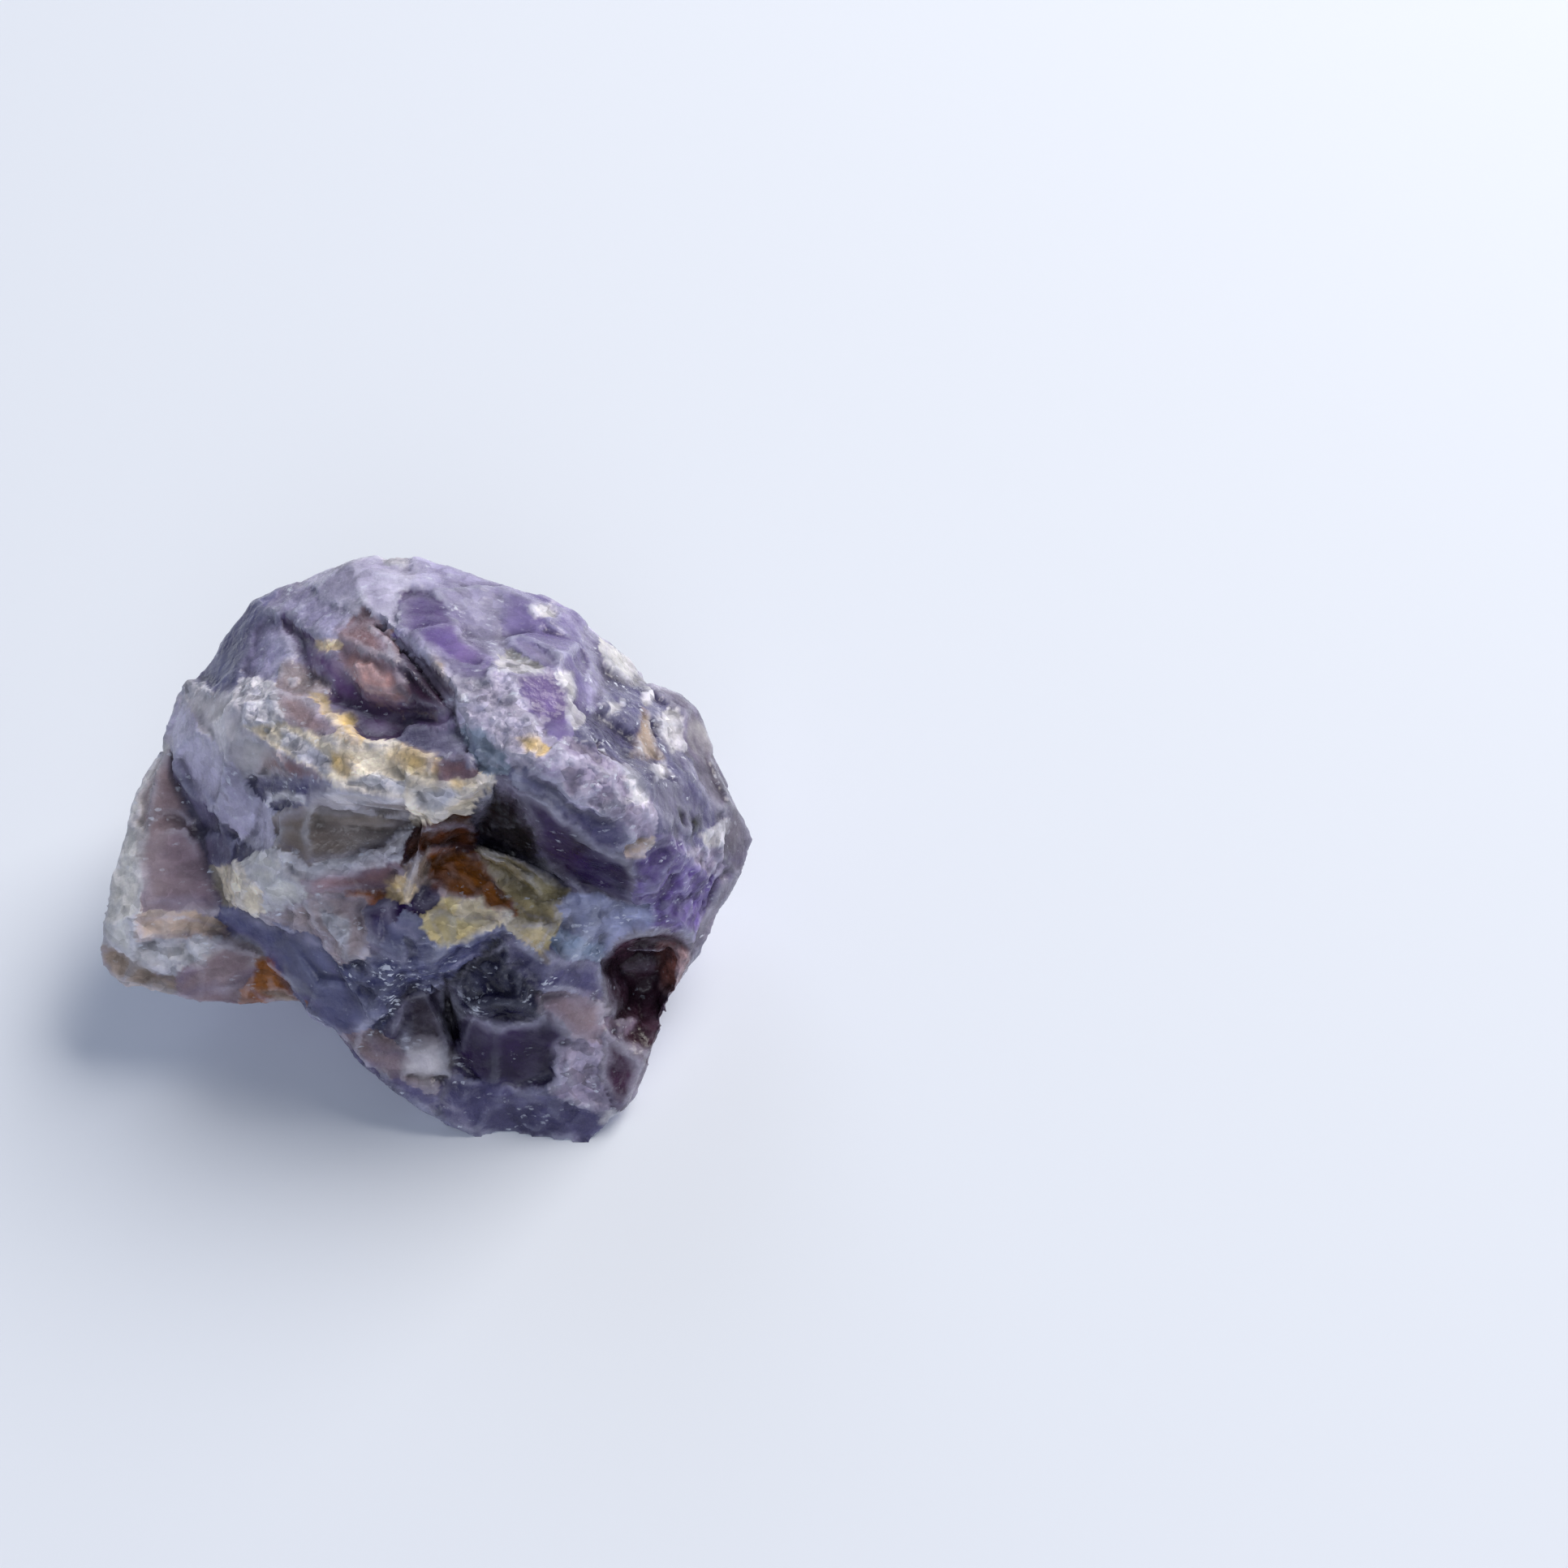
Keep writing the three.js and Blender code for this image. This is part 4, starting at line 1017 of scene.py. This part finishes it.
place = add_node(tree, "ShaderNodeTexCoord").outputs["Object"]
tint, frost, flecks_and_glints = from_skin("tint", "Color"), from_skin("frost", "Fac"), from_skin("flecks_and_glints", "Fac")

# Cloudy drift inside the stone, a few millimetres wide, and blocks of crushed quartz with painted
# shade, each lighter or darker as if its grains caught the light their own way
cloud_shade = ramp(clouds(place, 3.2, 5, 0.62), 0.32, 0.68, 0.8, 1.2)
blocks = cells(turned((0.5, 0.2, 0.9), (1, 1.5, 2.0)), 1.5)
block_draw = ramp(draw_of(blocks), 0.0, 1.0, -1.0, 1.0)
painted_block_shade = maths("MULTIPLY", block_draw, ramp(frost, 0.2, 0.75, 0.05, 0.34))
shade = maths("MULTIPLY", cloud_shade, maths("ADD", painted_block_shade, 1.0))
body = mixed(1.0, tint, shade, blend_type="MULTIPLY")

# Veils: milky wisps of healed cracks inside the glass
veil_noise = clouds(turned((0.4, 0.7, 0.3), (1, 2.2, 1.4)), 5, 6, 0.62, 0.4)
veil = maths("MULTIPLY", ramp(veil_noise, 0.5, 0.72, 0.0, 0.45), flecks_and_glints)
colour = mixed(veil, body, (*linear("#c9c8da"), 1))

# Bright flecks: chips and small cracks that show white, and painted glints of tiny broken facets
# catching the light. Each is one cell of its own angular outline, and they lie in drifts. Coarse
# chips and fine ones are two layers of the same kind.
fleck_and_glint_drift = clouds(place, 2.6, 5, 0.7)
for spacing, turn, low, most in ((0.95, (0.3, 0.5, 0.2), 0.5, 0.4), (0.5, (0.9, 0.2, 0.7), 0.46, 0.4)):
    chip_and_glint_cells = cells(turned(turn, (1, 1.7, 2.4)), spacing)
    share = maths("MULTIPLY", ramp(fleck_and_glint_drift, low, low + 0.25, 0.0, most), flecks_and_glints)
    fleck_and_glint = ramp(maths("SUBTRACT", share, draw_of(chip_and_glint_cells)), 0.0, 0.12, 0.0, 0.85)
    colour = mixed(fleck_and_glint, colour, (*linear("#dfe3f0"), 1))

# Crushed quartz is a heap of tiny facets: each cell tilts its own way
facet = cells(place, 0.42)
subtract = {"operation": "SUBTRACT"}
from_centre = add_node(tree, "ShaderNodeVectorMath", {0: place, 1: facet["Position"]}, **subtract)
tilt = add_node(tree, "ShaderNodeVectorMath", {0: facet["Color"], 1: (0.5, 0.5, 0.5)}, **subtract)
height = add_node(
    tree, "ShaderNodeVectorMath", {0: from_centre.outputs[0], 1: tilt.outputs[0]}, operation="DOT_PRODUCT"
)
facets = add_node(tree, "ShaderNodeBump", {
    "Height": height.outputs["Value"],
    "Strength": ramp(frost, 0.25, 0.8, 0.0, 0.5),
    "Distance": 1.6,
})

# Glassy faces still wave a little, as broken glass does
waves = add_node(tree, "ShaderNodeBump", {
    "Height": clouds(place, 1.7, 4, 0.55),
    "Strength": 0.5,
    "Distance": 0.45 * MM,
    "Normal": facets.outputs[0],
})

# Crushed surfaces are matt, glassy ones are not
matt_grain = ramp(clouds(place, 0.55, 3, 0.6), 0.3, 0.7, -0.1, 0.12)
roughness = maths("ADD", ramp(frost, 0.1, 0.8, 0.1, 0.5), matt_grain, use_clamp=True)

shader = add_node(tree, "ShaderNodeBsdfPrincipled", {
    "Base Color": colour,
    "Roughness": roughness,
    "IOR": 1.54,
    "Specular IOR Level": 0.24,
    "Normal": waves.outputs[0],
    "Subsurface Weight": 0.2,
    "Subsurface Radius": (1.0, 0.85, 1.1),
    "Subsurface Scale": 0.4 * MM,
})
add_node(tree, "ShaderNodeOutputMaterial", {"Surface": shader.outputs[0]})
skin.materials.clear()
skin.materials.append(quartz)
print("material:", quartz.name, "with", len(tree.nodes), "nodes")

# %% [markdown]
# ## The floor and the light
#
# The stone lies on plain pale paper. Daylight comes softly from behind it on the right, so its
# shadow falls to the lower left, and the paper fills the shade with bluish light.

# %% The floor
PAPER_SIZE = 3.0

sheet = bmesh.new()
bmesh.ops.create_grid(sheet, x_segments=1, y_segments=1, size=PAPER_SIZE / 2)
paper_mesh = bpy.data.meshes.new("paper")
sheet.to_mesh(paper_mesh)
sheet.free()
paper = bpy.data.objects.new("paper", paper_mesh)
bpy.context.scene.collection.objects.link(paper)
paper_material = bpy.data.materials.new("matt white paper")
paper_material.use_nodes = True
paper_shader = paper_material.node_tree.nodes["Principled BSDF"]
paper_shader.inputs["Base Color"].default_value = (*linear("#e6ebf3"), 1)
paper_shader.inputs["Roughness"].default_value = 0.8
paper_shader.inputs["Specular IOR Level"].default_value = 0.2
paper_mesh.materials.append(paper_material)
print("floor:", PAPER_SIZE, "m of", paper_material.name)

# %% The light
def soft_light(name, place, size, power, colour):
    """A square area light that faces the stone."""
    light = bpy.data.lights.new(name, "AREA")
    light.size, light.energy, light.color = size, power, linear(colour)
    lamp = bpy.data.objects.new(name, light)
    lamp.location = place
    lamp.rotation_euler = (-Vector(place)).to_track_quat("-Z", "Y").to_euler()
    bpy.context.scene.collection.objects.link(lamp)


soft_light("daylight from the right", (0.9, 0.76, 1.22), 1.0, 29, "#fffaf4")
soft_light("sky behind", (-0.5, 1.5, 1.1), 1.0, 5, "#dfeaff")
soft_light("fill from the front", (0.3, -1.3, 1.0), 1.0, 7, "#eef2ff")
world = bpy.data.worlds.new("pale room")
world.use_nodes = True
world.node_tree.nodes["Background"].inputs[0].default_value = (*linear("#d4e3fd"), 1)
world.node_tree.nodes["Background"].inputs[1].default_value = 0.215
bpy.context.scene.world = world
bpy.context.scene.view_settings.view_transform = "Standard"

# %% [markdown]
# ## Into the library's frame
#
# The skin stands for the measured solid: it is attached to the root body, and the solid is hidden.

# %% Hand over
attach(chunk, "root")
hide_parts("rough_amethyst")
